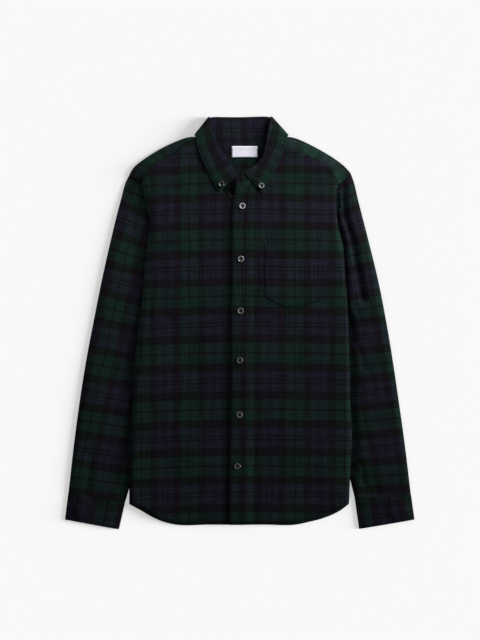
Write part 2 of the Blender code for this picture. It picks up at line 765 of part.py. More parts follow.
def turn_rows(low_row, high_row, outward, steps):
    """Rows round the fold between a lower and a higher row that lie above each other."""
    rows = []
    for step in range(1, steps):
        angle = math.pi * step / steps
        row = []
        for (ax, ay, az), (bx, by, bz) in zip(low_row, high_row):
            radius = (bz - az) / 2
            share = (1.0 - math.cos(angle)) / 2
            reach = radius * math.sin(angle)
            row.append((lerp(ax, bx, share) + outward.x * reach, lerp(ay, by, share) + outward.y * reach,
                        lerp(az, bz, share)))
        rows.append(row)
    return rows


def build_stand():
    """Collar stand: flat at the back of the neck, turned over at both sides down to its ends."""
    half = COLLAR_STAND_WALL / 2

    def row(entry):
        neck_x, neck_y, top_x, top_y, low = entry
        return [(lerp(neck_x, top_x, share), lerp(neck_y, top_y, share), low + half)
                for share in STAND_SHARES]

    def turn_line(entry, inset, z):
        neck_x, neck_y, top_x, top_y = entry
        return [(lerp(neck_x, top_x, share) + inset, lerp(neck_y, top_y, share), z)
                for share in STAND_SHARES]

    low, high = STAND_BACK_Z + half, STAND_SIDE_Z + half
    rows = [row(entry) for entry in STAND_LEFT]
    left_low = turn_line(STAND_LEFT_TURN, STAND_TURN_INSET, low)
    left_high = turn_line(STAND_LEFT_TURN, STAND_TURN_INSET, high)
    rows.append(left_high)
    rows += turn_rows(left_low, left_high, Vector((-1.0, 0.3)).normalized(), STAND_TURN_STEPS)[::-1]
    rows.append(left_low)
    rows += [row(entry) for entry in STAND_BACK]
    right_low = turn_line(STAND_RIGHT_TURN, -STAND_TURN_INSET, low)
    right_high = turn_line(STAND_RIGHT_TURN, -STAND_TURN_INSET, high)
    rows.append(right_low)
    rows += turn_rows(right_low, right_high, Vector((1.0, 0.3)).normalized(), STAND_TURN_STEPS)
    rows.append(right_high)
    rows += [row(entry) for entry in STAND_RIGHT]
    turned_band("collar_stand", rows, COLLAR_STAND_WALL, "tartan_cloth")


def build_leaf():
    """Collar leaf: under the stand at the back, turned over at both sides into the two points."""
    half = COLLAR_LEAF_WALL / 2

    def row(entry):
        in_x, in_y, out_x, out_y, in_z, out_z = entry
        points = []
        for share in LEAF_SHARES:
            drop = ramp(share, LEAF_SHARES[2], 1.0) if in_y > 300.0 else share ** 1.5
            points.append((lerp(in_x, out_x, share), lerp(in_y, out_y, share),
                           lerp(in_z, out_z, drop) + half))
        return points

    def turn_line(entry, outward, z):
        in_x, in_y, out_x, out_y = entry
        inset = (LEAF_WING_Z + COLLAR_LEAF_WALL) / 2
        return [(lerp(in_x, out_x, s) - outward.x * inset, lerp(in_y, out_y, s) - outward.y * inset, z)
                for s in LEAF_SHARES]

    left_way = Vector((-0.80, 0.60)).normalized()
    right_way = Vector((0.75, 0.66)).normalized()
    rows = [row(entry) for entry in LEAF_LEFT]
    left_low = turn_line(LEAF_LEFT_TURN, left_way, half)
    left_high = turn_line(LEAF_LEFT_TURN, left_way, LEAF_WING_Z + half)
    rows.append(left_high)
    rows += turn_rows(left_low, left_high, left_way, TURN_STEPS)[::-1]
    rows.append(left_low)
    rows += [row(entry) for entry in LEAF_BACK]
    right_low = turn_line(LEAF_RIGHT_TURN, right_way, half)
    right_high = turn_line(LEAF_RIGHT_TURN, right_way, LEAF_WING_Z + half)
    rows.append(right_low)
    rows += turn_rows(right_low, right_high, right_way, TURN_STEPS)
    rows.append(right_high)
    rows += [row(entry) for entry in LEAF_RIGHT]
    turned_band("collar_leaf", rows, COLLAR_LEAF_WALL, "tartan_cloth")


def add_button(name, x, y, z, radius):
    """A turned button: a rounded edge, a raised rim and a dished face."""
    floor = BUTTON_HEIGHT - BUTTON_DISH
    profile = (
        (0.0, 0.0), (radius - 0.9, 0.0), (radius, 0.8), (radius, 1.6), (radius - 0.5, BUTTON_HEIGHT),
        (radius - BUTTON_RIM - 0.4, BUTTON_HEIGHT), (radius - BUTTON_RIM - 1.2, floor), (0.0, floor),
    )
    points = [(0.0, 0.0, profile[0][1])]
    for distance, height in profile[1:-1]:
        for step in range(BUTTON_SIDES):
            angle = 2.0 * math.pi * step / BUTTON_SIDES
            points.append((distance * math.cos(angle), distance * math.sin(angle), height))
    points.append((0.0, 0.0, profile[-1][1]))
    rings = len(profile) - 2
    faces = grid_faces(rings, BUTTON_SIDES, 1, close_columns=True)
    last = 1 + (rings - 1) * BUTTON_SIDES
    for step in range(BUTTON_SIDES):
        after = (step + 1) % BUTTON_SIDES
        faces.append((0, 1 + after, 1 + step))
        faces.append((len(points) - 1, last + step, last + after))
    obj = make_object(name, points, faces, "smoked_button")
    obj.location = Vector((x, y, z)) * MM
    obj.data.shade_smooth()
    obj.data.set_sharp_from_angle(angle=math.radians(35.0))
    return obj


def build_buttons():
    """Front buttons on the placket and one button through each collar point."""
    band_top = 2.0 * PLY + CLOTH + TOUCH_GAP + CLOTH
    for number, (x, y) in enumerate(FRONT_BUTTONS, start=1):
        add_button("button_front_" + str(number), x, y, band_top + TOUCH_GAP, FRONT_BUTTON_RADIUS)
    for side, x, y, seat in COLLAR_BUTTONS:
        add_button("button_collar_" + side, x, y, seat, SMALL_BUTTON_RADIUS)


def main():
    """Build every piece of the shirt."""
    clear_scene()
    build_back()
    front = build_fronts()
    build_placket(front)
    build_pocket()
    build_yoke()
    build_label()
    build_stand()
    build_leaf()
    build_sleeve("left")
    build_sleeve("right")
    build_cuffs()
    build_buttons()


main()
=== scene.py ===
"""Tartan button-down shirt laid flat: fine cloth pieces with their folds, stitching, buttons and stage."""

import math

import bmesh
import bpy
from bpy.props import FloatProperty, FloatVectorProperty, PointerProperty
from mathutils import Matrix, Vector
from mathutils.bvhtree import BVHTree
from mathutils.geometry import delaunay_2d_cdt
from mathutils.kdtree import KDTree


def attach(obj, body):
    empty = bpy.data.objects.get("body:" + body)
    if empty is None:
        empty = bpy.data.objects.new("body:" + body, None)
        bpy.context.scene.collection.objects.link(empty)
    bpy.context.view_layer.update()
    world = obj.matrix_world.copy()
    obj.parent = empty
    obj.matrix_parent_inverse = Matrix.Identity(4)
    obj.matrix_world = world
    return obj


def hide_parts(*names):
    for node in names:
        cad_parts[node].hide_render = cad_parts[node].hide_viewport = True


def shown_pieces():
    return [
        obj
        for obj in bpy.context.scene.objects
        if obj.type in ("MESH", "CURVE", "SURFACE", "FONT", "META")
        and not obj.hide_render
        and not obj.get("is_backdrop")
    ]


bl_info = {
    "name": "Laid shirt",
    "version": (1, 0, 0),
    "blender": (4, 5, 0),
    "location": "3D View > Sidebar > Shirt",
    "description": "Cloth pieces, stitching, buttons and stage of a shirt that lies flat",
    "category": "Add Mesh",
}

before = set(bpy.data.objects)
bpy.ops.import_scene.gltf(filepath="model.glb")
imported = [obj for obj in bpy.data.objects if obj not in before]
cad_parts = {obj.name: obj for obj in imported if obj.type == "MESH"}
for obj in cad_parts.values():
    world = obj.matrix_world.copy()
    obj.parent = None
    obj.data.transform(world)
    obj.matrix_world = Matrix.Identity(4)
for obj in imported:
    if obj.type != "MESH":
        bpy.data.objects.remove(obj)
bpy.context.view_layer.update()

MM = 0.001
SIDES = ("left", "right")
OUT = {"left": -1.0, "right": 1.0}     # which way X runs outward
COLUMN = {"left": 1, "right": 2}       # column of a side in a table that starts with y

# ---------------------------------------------------------------- the shirt's plan, in millimetres
# The same plan as the solids: X to the viewer's right, Y from hem to collar, left and right as seen.

PLY = 1.6              # height of one ply in the stack
CLOTH = 1.2            # thickness of the cloth itself
SLEEVE_LIFT = 3.1      # how far the body is lifted over the sleeves under it
NECK_RAISE = 1.7       # how far a ply is lifted over the back of the collar leaf
HEM_Y = -393.8
SIDE_FOOT_Y = -353     # where the hem's curve meets the side
ARMHOLE_TOP_Y = 268
UNDERARM_Y = 62
TUCK_Y = 5             # where the underarm seam meets the sleeve's inner fold
CUFF_INNER_Y = -338
BACK_SEAM_Y = 262
PLACKET_WIDTH = 31

# Sides of the body: y, x on the left, x on the right
BODY_SIDE = (
    (-353, -215.4, 213), (-266, -214.8, 216.5), (-229, -212.8, 218.5), (-156, -208.8, 215.4),
    (-57, -202.5, 213), (62, -189, 208.6), (128, -180.2, 201.3), (150, -177.5, 199.6),
    (167, -175.5, 194.5), (196.5, -172.1, 188.3), (220, -176, 185.7), (232, -178.9, 185.5),
    (259, -184.8, 186), (268, -187, 190.4),
)
HEM = (
    (-215.4, -353.4), (-194.5, -365.1), (-167.2, -380.7), (-147.7, -388.5), (-128, -393.2), (-60, HEM_Y),
    (50, HEM_Y), (112, -393.4), (135, -388.5), (164.3, -380.7), (197.4, -365.1), (213, -352.8),
)
# Front necklines from the shoulder down
LEFT_NECKLINE = ((-69.5, 333.5), (-50, 292.8), (-26.2, 261.5), (-12, 247.3), (16, 246))
RIGHT_NECKLINE = ((67.6, 324.4), (50.8, 291.6), (38, 278.6), (25.9, 268), (-9.3, 262.9))
# Left edge of the placket, y and x, and its upper corners at the neck
PLACKET_EDGE = (
    (HEM_Y, -20.6), (-265.7, -19.6), (-156.5, -17.6), (61.9, -15.7), (237.4, -12.4), (262.9, -9.1),
)
PLACKET_TOP = (RIGHT_NECKLINE[-1], (21.7, 267.4))
# Corners between the armhole and the shoulder fold, counter-clockwise
SHOULDER_TIP = {"left": ((-216.6, 287.6), (-195.6, 277.6)), "right": ((199.4, 274.4), (217.4, 291))}
# Sleeves: tip at the shoulder, top of the armhole, underarm seam under the body, then the outer fold as
# y, x on the left, x on the right
SLEEVE_TIP = {"left": (-213.8, 290), "right": (215.4, 293)}
SLEEVE_TOP = {"left": ((-194.4, 278.4), (-188.4, 268)), "right": ((197.6, 274.2), (191.8, 266))}
TUCK = {"left": ((-154, 33), (-118, TUCK_Y)), "right": ((174, 33), (138, TUCK_Y))}
SLEEVE_EDGE = (
    (-332.6, -333.6, 333), (-228.6, -322, 320.5), (-150.6, -311.5, 309.5), (-72.6, -299, 298),
    (5.4, -284.2, 284.9), (83.4, -268.6, 269.5), (161.4, -251.1, 250.5), (239.4, -231.6, 230.6),
    (278, -220.2, 221),
)
# Corners of the cuffs: the two on the sleeve, then the two at the free edge
CUFF = {
    "left": {"outer": (-333.4, -329.3), "inner": (-224.7, -351.5),
             "outer_end": (-340.2, -383.7), "inner_end": (-236.4, -402.8)},
    "right": {"outer": (333.2, -333.2), "inner": (224.7, -341),
              "outer_end": (340.2, -383.9), "inner_end": (233.5, -402)},
}

# Yoke: x on the back seam, shoulder fold x, y, front seam x, y
SHOULDER = {
    "left": ((-185.4, -215.6, 288.9, -188, 282.5), (-182, -209, 302, -178.5, 291),
             (-174, -196.5, 313, -171.8, 303.4), (-157, -173.1, 329.1, -156.8, 314.4),
             (-139, -147, 344, -138.8, 323.8), (-118, -121, 355.6, -117.8, 336.8),
             (-97, -99, 363.6, -96.6, 355.4), (-76, -79, 361.8, -78, 359)),
    "right": ((76, 79, 361.8, 75, 342.2), (97, 99, 363.4, 94.1, 337.2), (118, 119, 356.8, 116.3, 332.5),
              (139, 143, 345, 133.9, 322.1), (157, 172.1, 329.1, 158.2, 311.7),
              (172, 196, 313, 175.8, 301.2), (181, 208, 302, 181.2, 292.2),
              (185.6, 216.2, 292.2, 190.2, 271)),
}
# Columns of the yoke at the neck: x, y of its upper edge
NECK_STATIONS = ((-60, 360.2), (-20, 359.4), (20, 359.4), (60, 360.2))
YOKE_ROW_Y = (300, 335, 350)              # rows of a column near the neck
YOKE_ROW_SHARE = (0.3, 0.5, 0.75)         # and of one on the shoulder, from the back seam to the fold
# Rows of the yoke's last two columns at both ends: x, y of the end one, x, y of the one beside it
YOKE_END = {
    "left": ((-187, 268, -184, 268.5), (-189.8, 273.5, -186.6, 275.5), (-194.2, 279.3, -192, 285.5)),
    "right": ((188.6, 265, 184.6, 267), (191.4, 269.5, 187.4, 273), (197.4, 275.2, 193.5, 283)),
}

# Collar stand, left end to right end: neck edge x, y, upper edge x, y, wall's lower face
STAND_LEFT = (
    (-28.5, 273, -9.5, 295, 3.2), (-52.5, 299.5, -26, 318.5, 3.2), (-68.4, 334.5, -46.5, 353.5, 3.2),
    (-74.2, 356, -56, 386, 3.6),
)
STAND_BACK = (
    (-70, 361.5, -57, 397, 1.7), (-40, 360.8, -35, 398.8, 1.7), (0, 360.3, 0, 398.6, 1.7),
    (40, 360.8, 36, 399.4, 1.7), (71, 361.5, 58.5, 398.4, 1.7),
)
STAND_RIGHT = (
    (74.6, 356, 57.4, 386, 3.6), (66.4, 325, 50.5, 350.5, 3.2), (50.2, 292.4, 43, 321, 3.2),
    (25.6, 267.5, 32.6, 305.2, 3.5), (9, 264.5, 8.2, 291.5, 3.6), (3.5, 263.9, 2.2, 289.4, 4.1),
    (0.4, 263.4, -1.6, 287.8, 3.1), (-2.6, 263, -4.4, 286.6, 4.1), (-6.8, 262.4, -7, 285.6, 3.8),
)
# Where the stand turns over at both sides: neck edge x, y, upper edge x, y
STAND_TURN = {"left": (-75.4, 362, -60.2, 397), "right": (76, 362, 62, 398)}
# Collar leaf, point to point: inner edge x, y, free edge x, y, lower face at the inner and free edges
LEAF_LEFT = (
    (-2.6, 291.6, -39, 254.4, 5.2, 3.4), (-11, 303, -49.8, 270, 5.4, 3.8),
    (-21, 315.4, -60.4, 292, 5.4, 4.2), (-33.5, 334, -69.5, 310, 5.4, 4.6),
    (-44.5, 354, -77.5, 327, 5.4, 5), (-54, 380, -84.6, 350, 5.4, 5.4),
)
LEAF_RIGHT = (
    (56.6, 378, 91.6, 350, 5.4, 5.4), (51.5, 348, 85.3, 333, 5.4, 5), (45.3, 321.8, 78.5, 318, 5.4, 4.6),
    (33.6, 307.6, 70, 300, 5.4, 4.2), (20, 300.4, 57.5, 275.5, 5.4, 3.8), (8, 293, 44.4, 252.2, 5.2, 3.7),
)
LEAF_TURN = {"left": (-61.1, 401.8, -89.2, 366.4), "right": (62.7, 402.8, 95.4, 366.2)}
LEAF_BACK = (
    (-54, 402, -70, 357, 0, 0), (-30, 401.4, -35, 355.5, 0, 0), (0, 401, 0, 355, 0, 0),
    (30, 402, 36, 355.5, 0, 0), (55, 402.8, 74, 357, 0, 0),
)
LEAF_SHARES = (0, 0.2, 0.42, 0.6, 0.76, 0.9, 1)
# Outline of the leaf behind the neck, right to left
LEAF_LINE = [(95.4, 366.4), (62.7, 402.8), (0, 401.8), (-61.1, 401.8), (-89.2, 366.4)]

POCKET = {"left": 48.7, "right": 156.1, "top": 152.6, "left_corner": 51.2, "right_corner": 45.1,
          "point_x": 99.9, "point_y": 30.7}
LABEL = {"left": -15.3, "right": 34.6, "bottom": 323.2, "top": 344.5}
FRONT_BUTTONS = ((5.2, 226.9), (2.4, 124.1), (1.9, 23.3), (0.3, -73), (-0.3, -178.5), (-4.8, -278.6))
COLLAR_BUTTONS = {"left": (-35.4, 269.4), "right": (42.4, 266.3)}

# ---------------------------------------------------------------- how the cloth lies
# Soft troughs of the sleeves: the points they run through, half width, depth
SLEEVE_TROUGHS = (
    (((203, 268), (203.5, 236), (205.5, 210), (212.5, 187), (221, 160), (228, 117), (234, 86),
      (241, 46)), 6, 6.6),
    (((213, 266), (214, 234), (216.5, 208), (223, 186), (231.5, 158), (238.5, 116), (250, 50)),
     5, -2),
    (((184.5, 290), (190, 264), (190, 244), (188, 224)), 4.6, 5),
    (((217.5, 6), (226.5, -34), (236, -64), (241, -88)), 5, 2.2),
    (((222.6, -256), (236.5, -280), (244, -300)), 4.5, 2),
    (((226, -286), (240, -306), (248, -322)), 4.5, 2),
    (((-214, 250), (-206, 205), (-203, 150), (-209, 96)), 7, 1.6),
    (((-236, -236), (-250, -276), (-262, -318)), 6, 1.2),
    (((-290, -262), (-294, -296), (-296, -322)), 5, 1.2),
)
# How each sleeve rises away from the body: height, start and end of the rise, share of the loft
SLEEVE_RISE = {
    "left": ((-340, 2, 40, 1), (-300, 8, 70, 0.6), (280, 8, 70, 0.6)),
    "right": ((-60, 3, 18, 1), (4, 2, 17, 1), (20, 0, 7.5, 1.25), (146, 0, 7.5, 1.25),
              (168, 1, 12, 1.2), (200, 0, 10, 1.2)),
}
# Soft troughs of the body, the same in every ply that lies on it
BODY_TROUGHS = (
    (((-178, 168), (-160, 120), (-150, 60), (-140, 0)), 14, 0.9),
    (((-131, 10), (-132, -60), (-133, -150), (-131, -240)), 8, 0.7),
    (((180, 170), (163, 118), (160, 40)), 12, 0.9),
    (((112, 130), (117, 40), (118, -40), (114, -100)), 8, 0.6),
    (((-190, -150), (-150, -220), (-136, -300), (-140, -380)), 16, 0.7),
    (((-74, -190), (-70, -280), (-70, -388)), 8, 0.6),
    (((30, -140), (28, -250), (25, -388)), 7, 0.5),
    (((176, -120), (150, -210), (140, -300), (148, -376)), 16, 0.8),
    (((-88, 210), (-84, 130), (-92, 20), (-86, -90)), 18, 0.6),
    (((-17, 236), (-21, 62), (-23, -156), (-25.5, -388)), 4.5, 0.5),
    (((66, 226), (58, 170)), 10, 0.6),
    (((-27, 280), (-20.5, 271), (-15, 262), (-13, 252)), 4.2, 7),
    (((-29, 265), (-22, 258), (-14.5, 247)), 3, -1.6),
    (((-31, 256), (-24, 248), (-16, 237)), 2.6, 1.4),
)


# ---------------------------------------------------------------- sizes and colours a user can change

class ShirtSizes(bpy.types.PropertyGroup):
    """Sizes of the cloth and its details."""
    wall: FloatProperty(name="Cloth", description="Thickness of one ply of cloth",
                        default=0.0012, min=0.0004, max=0.002, unit="LENGTH")
    step: FloatProperty(name="Mesh step", description="Distance between points of the cloth",
                        default=0.0044, min=0.003, max=0.02, unit="LENGTH")
    loft: FloatProperty(name="Loft", description="How far the fronts stand above the flat back",
                        default=0.0085, min=0.0, max=0.009, unit="LENGTH")
    roll: FloatProperty(name="Edge roll", description="Width over which the body's edges roll down",
                        default=0.010, min=0.004, max=0.04, unit="LENGTH")
    sleeve_loft: FloatProperty(name="Sleeve loft", default=0.0058, min=0.0, max=0.008, unit="LENGTH",
                               description="How far a sleeve's top stands above its flat height")
    stitch: FloatProperty(name="Stitch", description="Length of one stitch with the gap after it",
                          default=0.0032, min=0.002, max=0.008, unit="LENGTH")
    thread: FloatProperty(name="Thread", description="Width of the sewing thread",
                          default=0.0006, min=0.0003, max=0.002, unit="LENGTH")
    weft_repeat: FloatProperty(name="Weft repeat", description="Repeat of the check along the shirt",
                               default=0.110, min=0.02, max=0.4, unit="LENGTH")
    warp_repeat: FloatProperty(name="Warp repeat", description="Repeat of the check across the shirt",
                               default=0.0975, min=0.02, max=0.4, unit="LENGTH")


class ShirtColours(bpy.types.PropertyGroup):
    """Colours of the cloth, its trims and the floor."""
    green: FloatVectorProperty(name="Green", description="Green bands of the check", subtype="COLOR",
                               default=(0.0050, 0.0133, 0.0101), min=0.0, max=1.0)
    navy: FloatVectorProperty(name="Navy", description="Blue bands of the check", subtype="COLOR",
                              default=(0.0084, 0.0080, 0.0149), min=0.0, max=1.0)
    black: FloatVectorProperty(name="Black", description="Black bands of the check", subtype="COLOR",
                               default=(0.0047, 0.0040, 0.0046), min=0.0, max=1.0)
    thread: FloatVectorProperty(name="Thread", description="Sewing thread", subtype="COLOR",
                                default=(0.0022, 0.0026, 0.0030), min=0.0, max=1.0)
    label: FloatVectorProperty(name="Label", description="Bare woven label", subtype="COLOR",
                               default=(0.605, 0.59, 0.665), min=0.0, max=1.0)
    button: FloatVectorProperty(name="Button", description="Smoked pearl of the buttons", subtype="COLOR",
                                default=(0.085, 0.082, 0.080), min=0.0, max=1.0)
    floor: FloatVectorProperty(name="Floor", description="Plain pale floor", subtype="COLOR",
                               default=(0.93, 0.93, 0.93), min=0.0, max=1.0)


class ShirtStage(bpy.types.PropertyGroup):
    """Camera and light."""
    height: FloatProperty(name="Camera height", description="Height of the camera above the shirt",
                          default=2.95, min=0.5, max=10.0, unit="LENGTH")
    lens: FloatProperty(name="Lens", description="Focal length in millimetres",
                        default=85.0, min=20.0, max=200.0)
    side: FloatProperty(name="Side light", description="Strength of the low soft light from the right",
                        default=4.5, min=0.0, max=20.0)
    side_height: FloatProperty(name="Side height", description="Angle of the side light above the floor",
                               default=math.radians(14.0), min=0.1, max=1.5, subtype="ANGLE")
    side_turn: FloatProperty(name="Side turn", default=math.radians(2.0), min=-3.1, max=3.1, subtype="ANGLE",
                             description="Direction the side light comes from, from the right round")
    side_spread: FloatProperty(name="Side spread", description="Softness of the side light's shadows",
                               default=math.radians(22.0), min=0.0, max=3.0, subtype="ANGLE")
    top: FloatProperty(name="Top light", description="Power of the light above the collar",
                       default=18.0, min=0.0, max=200.0, unit="POWER")
    rim: FloatProperty(name="Rim light", description="Power of the low light beyond the left shoulder",
                       default=5.0, min=0.0, max=200.0, unit="POWER")
    sky: FloatProperty(name="Fill", description="Strength of the even light from all round",
                       default=0.25, min=0.0, max=5.0)
    glow: FloatProperty(name="Floor glow", description="Light that the pale floor gives off itself",
                        default=0.392, min=0.0, max=1.0)


def sizes():
    return bpy.context.scene.shirt_sizes


def colours():
    return bpy.context.scene.shirt_colours


# ---------------------------------------------------------------- small helpers

CURVE_SHARE = 0.25     # part of a step between the points from which a smooth run is measured
TINY = 1e-9


def lerp(a, b, share):
    """The value a share of the way from a to b."""
    return a + (b - a) * share


def lerp_2d(a, b, share):
    """The point a share of the way from a to b on the plan."""
    return lerp(a[0], b[0], share), lerp(a[1], b[1], share)


def ramp(value, start, end):
    """0 at start, 1 at end, straight between them."""
    return min(1.0, max(0.0, (value - start) / (end - start)))


def ease(share):
    """A share from 0 to 1 with soft ends."""
    return share * share * (3.0 - 2.0 * share)


def quarter_round(share):
    """Height of a rounded edge from 0 at the edge to 1 inside."""
    share = min(1.0, max(0.0, share))
    return math.sqrt(1.0 - (1.0 - share) ** 2)


def bell(away, half):
    """1 at a line, falling off over a half width on both sides of it."""
    return math.exp(-(away / half) ** 2)


def read_table(table, key, column):
    """Straight-line reading of a table sorted by its first column."""
    if key <= table[0][0]:
        return table[0][column]
    for low, high in zip(table, table[1:]):
        if key <= high[0]:
            return lerp(low[column], high[column], (key - low[0]) / (high[0] - low[0]))
    return table[-1][column]


def round_pairs(items):
    """Each item with the next one, and the last with the first."""
    return zip(items, items[1:] + items[:1])


def reaches(points):
    """Distance along a line to each of its points."""
    reach = [0.0]
    for a, b in zip(points, points[1:]):
        reach.append(reach[-1] + (b - a).length)
    return reach


def smooth_run(points, step):
    """A smooth curve through points, with a point about every step along it."""
    knots = [Vector(point) for point in points]
    gaps = [(b - a).length for a, b in zip(knots, knots[1:])]
    ways = [(b - a) / gap for a, b, gap in zip(knots, knots[1:], gaps)]
    slopes = [ways[0]]
    for i in range(1, len(knots) - 1):
        slopes.append((ways[i] * gaps[i - 1] + ways[i - 1] * gaps[i]) / (gaps[i] + gaps[i - 1]))
    slopes.append(ways[-1])
    fine = [knots[0]]
    for i, gap in enumerate(gaps):
        pieces = max(1, math.ceil(gap / (step * CURVE_SHARE)))
        for k in range(1, pieces + 1):
            t = k / pieces
            fine.append(knots[i] * (2 * t ** 3 - 3 * t ** 2 + 1)
                        + slopes[i] * gap * (t ** 3 - 2 * t ** 2 + t)
                        + knots[i + 1] * (3 * t ** 2 - 2 * t ** 3)
                        + slopes[i + 1] * gap * (t ** 3 - t ** 2))
    reach = reaches(fine)
    count = max(1, round(reach[-1] / step))
    line, place = [], 0
    for k in range(count + 1):
        goal = reach[-1] * k / count
        while place < len(fine) - 2 and reach[place + 1] < goal:
            place += 1
        span = max(reach[place + 1] - reach[place], TINY)
        line.append(fine[place].lerp(fine[place + 1], (goal - reach[place]) / span))
    return line


class Edge:
    """A line on the plan that points can be measured from."""

    def __init__(self, points, closed=False):
        self.points = [Vector(point[:2]) for point in points]
        self.closed = closed
        self.tree = KDTree(len(self.points))
        for number, point in enumerate(self.points):
            self.tree.insert((point.x, point.y, 0.0), number)
        self.tree.balance()

    def away(self, x, y):
        """Distance from the line."""
        spot = Vector((x, y))
        _, number, best = self.tree.find((x, y, 0.0))
        for side in (-1, 1):
            other = number + side
            if self.closed:
                other %= len(self.points)
            elif not 0 <= other < len(self.points):
                continue
            a, b = self.points[number], self.points[other]
            way = b - a
            along = min(1.0, max(0.0, (spot - a).dot(way) / max(way.length_squared, TINY)))
            best = min(best, (a + way * along - spot).length)
        return best

    def rows(self, start, gap):
        """Level lines across a closed outline: height, then the stretches inside it."""
        y = min(point.y for point in self.points) + start
        high = max(point.y for point in self.points)
        while y < high:
            cuts = sorted(a.x + (b.x - a.x) * (y - a.y) / (b.y - a.y)
                          for a, b in round_pairs(self.points) if (a.y > y) != (b.y > y))
            yield y, list(zip(cuts[::2], cuts[1::2]))
            y += gap


LINE_STEP = 3.0        # distance between the points of a line that others are measured from


def smooth_edge(points):
    """A smooth line through points, to measure from."""
    return Edge(smooth_run(points, LINE_STEP))


RING_SHARE = 0.85      # a point of a ring nearer to the border than this share of its depth is left out
CLEAR_SHARE = 0.55     # part of a step kept clear between the border or last ring and the inner points


class Plan:
    """The cut of a piece on the plan: points, triangles and its border in order."""

    def __init__(self, runs, step, rings=()):
        border, run_of = [], []
        for number, run in enumerate(runs):
            line = smooth_run(run, step)
            border += line[:-1]
            run_of += [number] * (len(line) - 1)
        turn = sum(a.x * b.y - b.x * a.y for a, b in round_pairs(border))
        if turn < 0:
            border.reverse()
            run_of.reverse()
        self.edge = Edge(border, closed=True)
        count = len(border)
        points = list(border) + self.ring_points(border, rings) + self.inner_points(step, rings)
        ring = [(i, (i + 1) % count) for i in range(count)]
        found, _, faces, sources, _, _ = delaunay_2d_cdt(points, ring, [], 1, 1e-5)
        self.points = [(point.x, point.y) for point in found]
        self.faces = [tuple(face) for face in faces]
        place = {source: number for number, group in enumerate(sources) for source in group}
        self.border = [place[i] for i in range(count)]
        self.run_of = run_of
        self.depth = [self.edge.away(x, y) for x, y in self.points]
        for number in self.border:
            self.depth[number] = 0.0

    def ring_points(self, border, rings):
        """Rings of points inside the border, where its rounded edge needs them."""
        points = []
        for depth in rings:
            for i, point in enumerate(border):
                way = border[(i + 1) % len(border)] - border[i - 1]
                inner = point + Vector((-way.y, way.x)).normalized() * depth
                if self.edge.away(inner.x, inner.y) > depth * RING_SHARE:
                    points.append(inner)
        return points

    def inner_points(self, step, rings):
        """Points a step apart in level rows, every second row moved by half a step."""
        points = []
        clear = (rings[-1] if rings else 0.0) + step * CLEAR_SHARE
        gap = step * math.sqrt(3.0) / 2.0
        for level, (y, stretches) in enumerate(self.edge.rows(gap / 2, gap)):
            for left, right in stretches:
                x = math.floor(left / step) * step + (step / 2 if level % 2 else 0.0)
                while x < right:
                    if x > left and self.edge.away(x, y) > clear:
                        points.append(Vector((x, y)))
                    x += step
        return points


SHARP_ANGLE = math.radians(52.0)


def cloth_mesh(name, points, faces, cloth, material):
    """A piece from points in millimetres; cloth gives each point's place on its bolt."""
    mesh = bpy.data.meshes.new(name)
    mesh.from_pydata([Vector(point) * MM for point in points], [], faces)
    work = bmesh.new()
    work.from_mesh(mesh)
    bmesh.ops.recalc_face_normals(work, faces=work.faces)
    work.to_mesh(mesh)
    work.free()
    if cloth:
        bolt = mesh.attributes.new("cloth", "FLOAT_VECTOR", "POINT")
        for spot, (u, v) in zip(bolt.data, cloth):
            spot.vector = (u * MM, v * MM, 0.0)
    mesh.materials.append(material)
    mesh.shade_smooth()
    mesh.set_sharp_from_angle(angle=SHARP_ANGLE)
    obj = bpy.data.objects.new(name, mesh)
    bpy.context.scene.collection.objects.link(obj)
    return obj


def dress(obj, slot, *nodes):
    """Make a piece part of the shirt, in the place of solids where it stands for them."""
    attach(obj, "root")
    if nodes:
        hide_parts(*nodes)
    return obj


def panel(name, plan, top, cloth, wall=None):
    """A ply of cloth on a plan: top(x, y, depth) is its upper face."""
    wall = sizes().wall / MM if wall is None else wall
    upper = [(x, y, top(x, y, depth)) for (x, y), depth in zip(plan.points, plan.depth)]
    lower = [(x, y, z - wall) for x, y, z in upper]
    count = len(upper)
    faces = list(plan.faces) + [tuple(i + count for i in reversed(face)) for face in plan.faces]
    faces += [(b, a, a + count, b + count) for a, b in round_pairs(plan.border)]
    bolt = [cloth(x, y) for x, y in plan.points]
    return cloth_mesh(name, upper + lower, faces, bolt + bolt, finish("Tartan twill", tartan))


def tube(name, plan, top, bottom, fold, open_runs, cloth, wall):
    """A flattened tube on a plan: two plies, joined at the folds and open along some runs."""
    upper = [(x, y, top(x, y, depth)) for (x, y), depth in zip(plan.points, plan.depth)]
    lower_of, lower = {}, []
    joined = {number for i, number in enumerate(plan.border)
              if not (plan.run_of[i - 1] in open_runs and plan.run_of[i] in open_runs)}
    for number, ((x, y), depth) in enumerate(zip(plan.points, plan.depth)):
        if number in joined:
            lower_of[number] = number
            upper[number] = (x, y, fold(x, y))
        else:
            lower_of[number] = len(upper) + len(lower)
            lower.append((x, y, bottom(x, y, depth)))
    faces = list(plan.faces) + [tuple(lower_of[i] for i in reversed(face)) for face in plan.faces]
    bolt = [cloth(x, y) for x, y in plan.points]
    bolt += [bolt[number] for number in range(len(plan.points)) if number not in joined]
    obj = cloth_mesh(name, upper + lower, faces, bolt, finish("Tartan twill", tartan))
    return thicken(obj, wall, even=False)


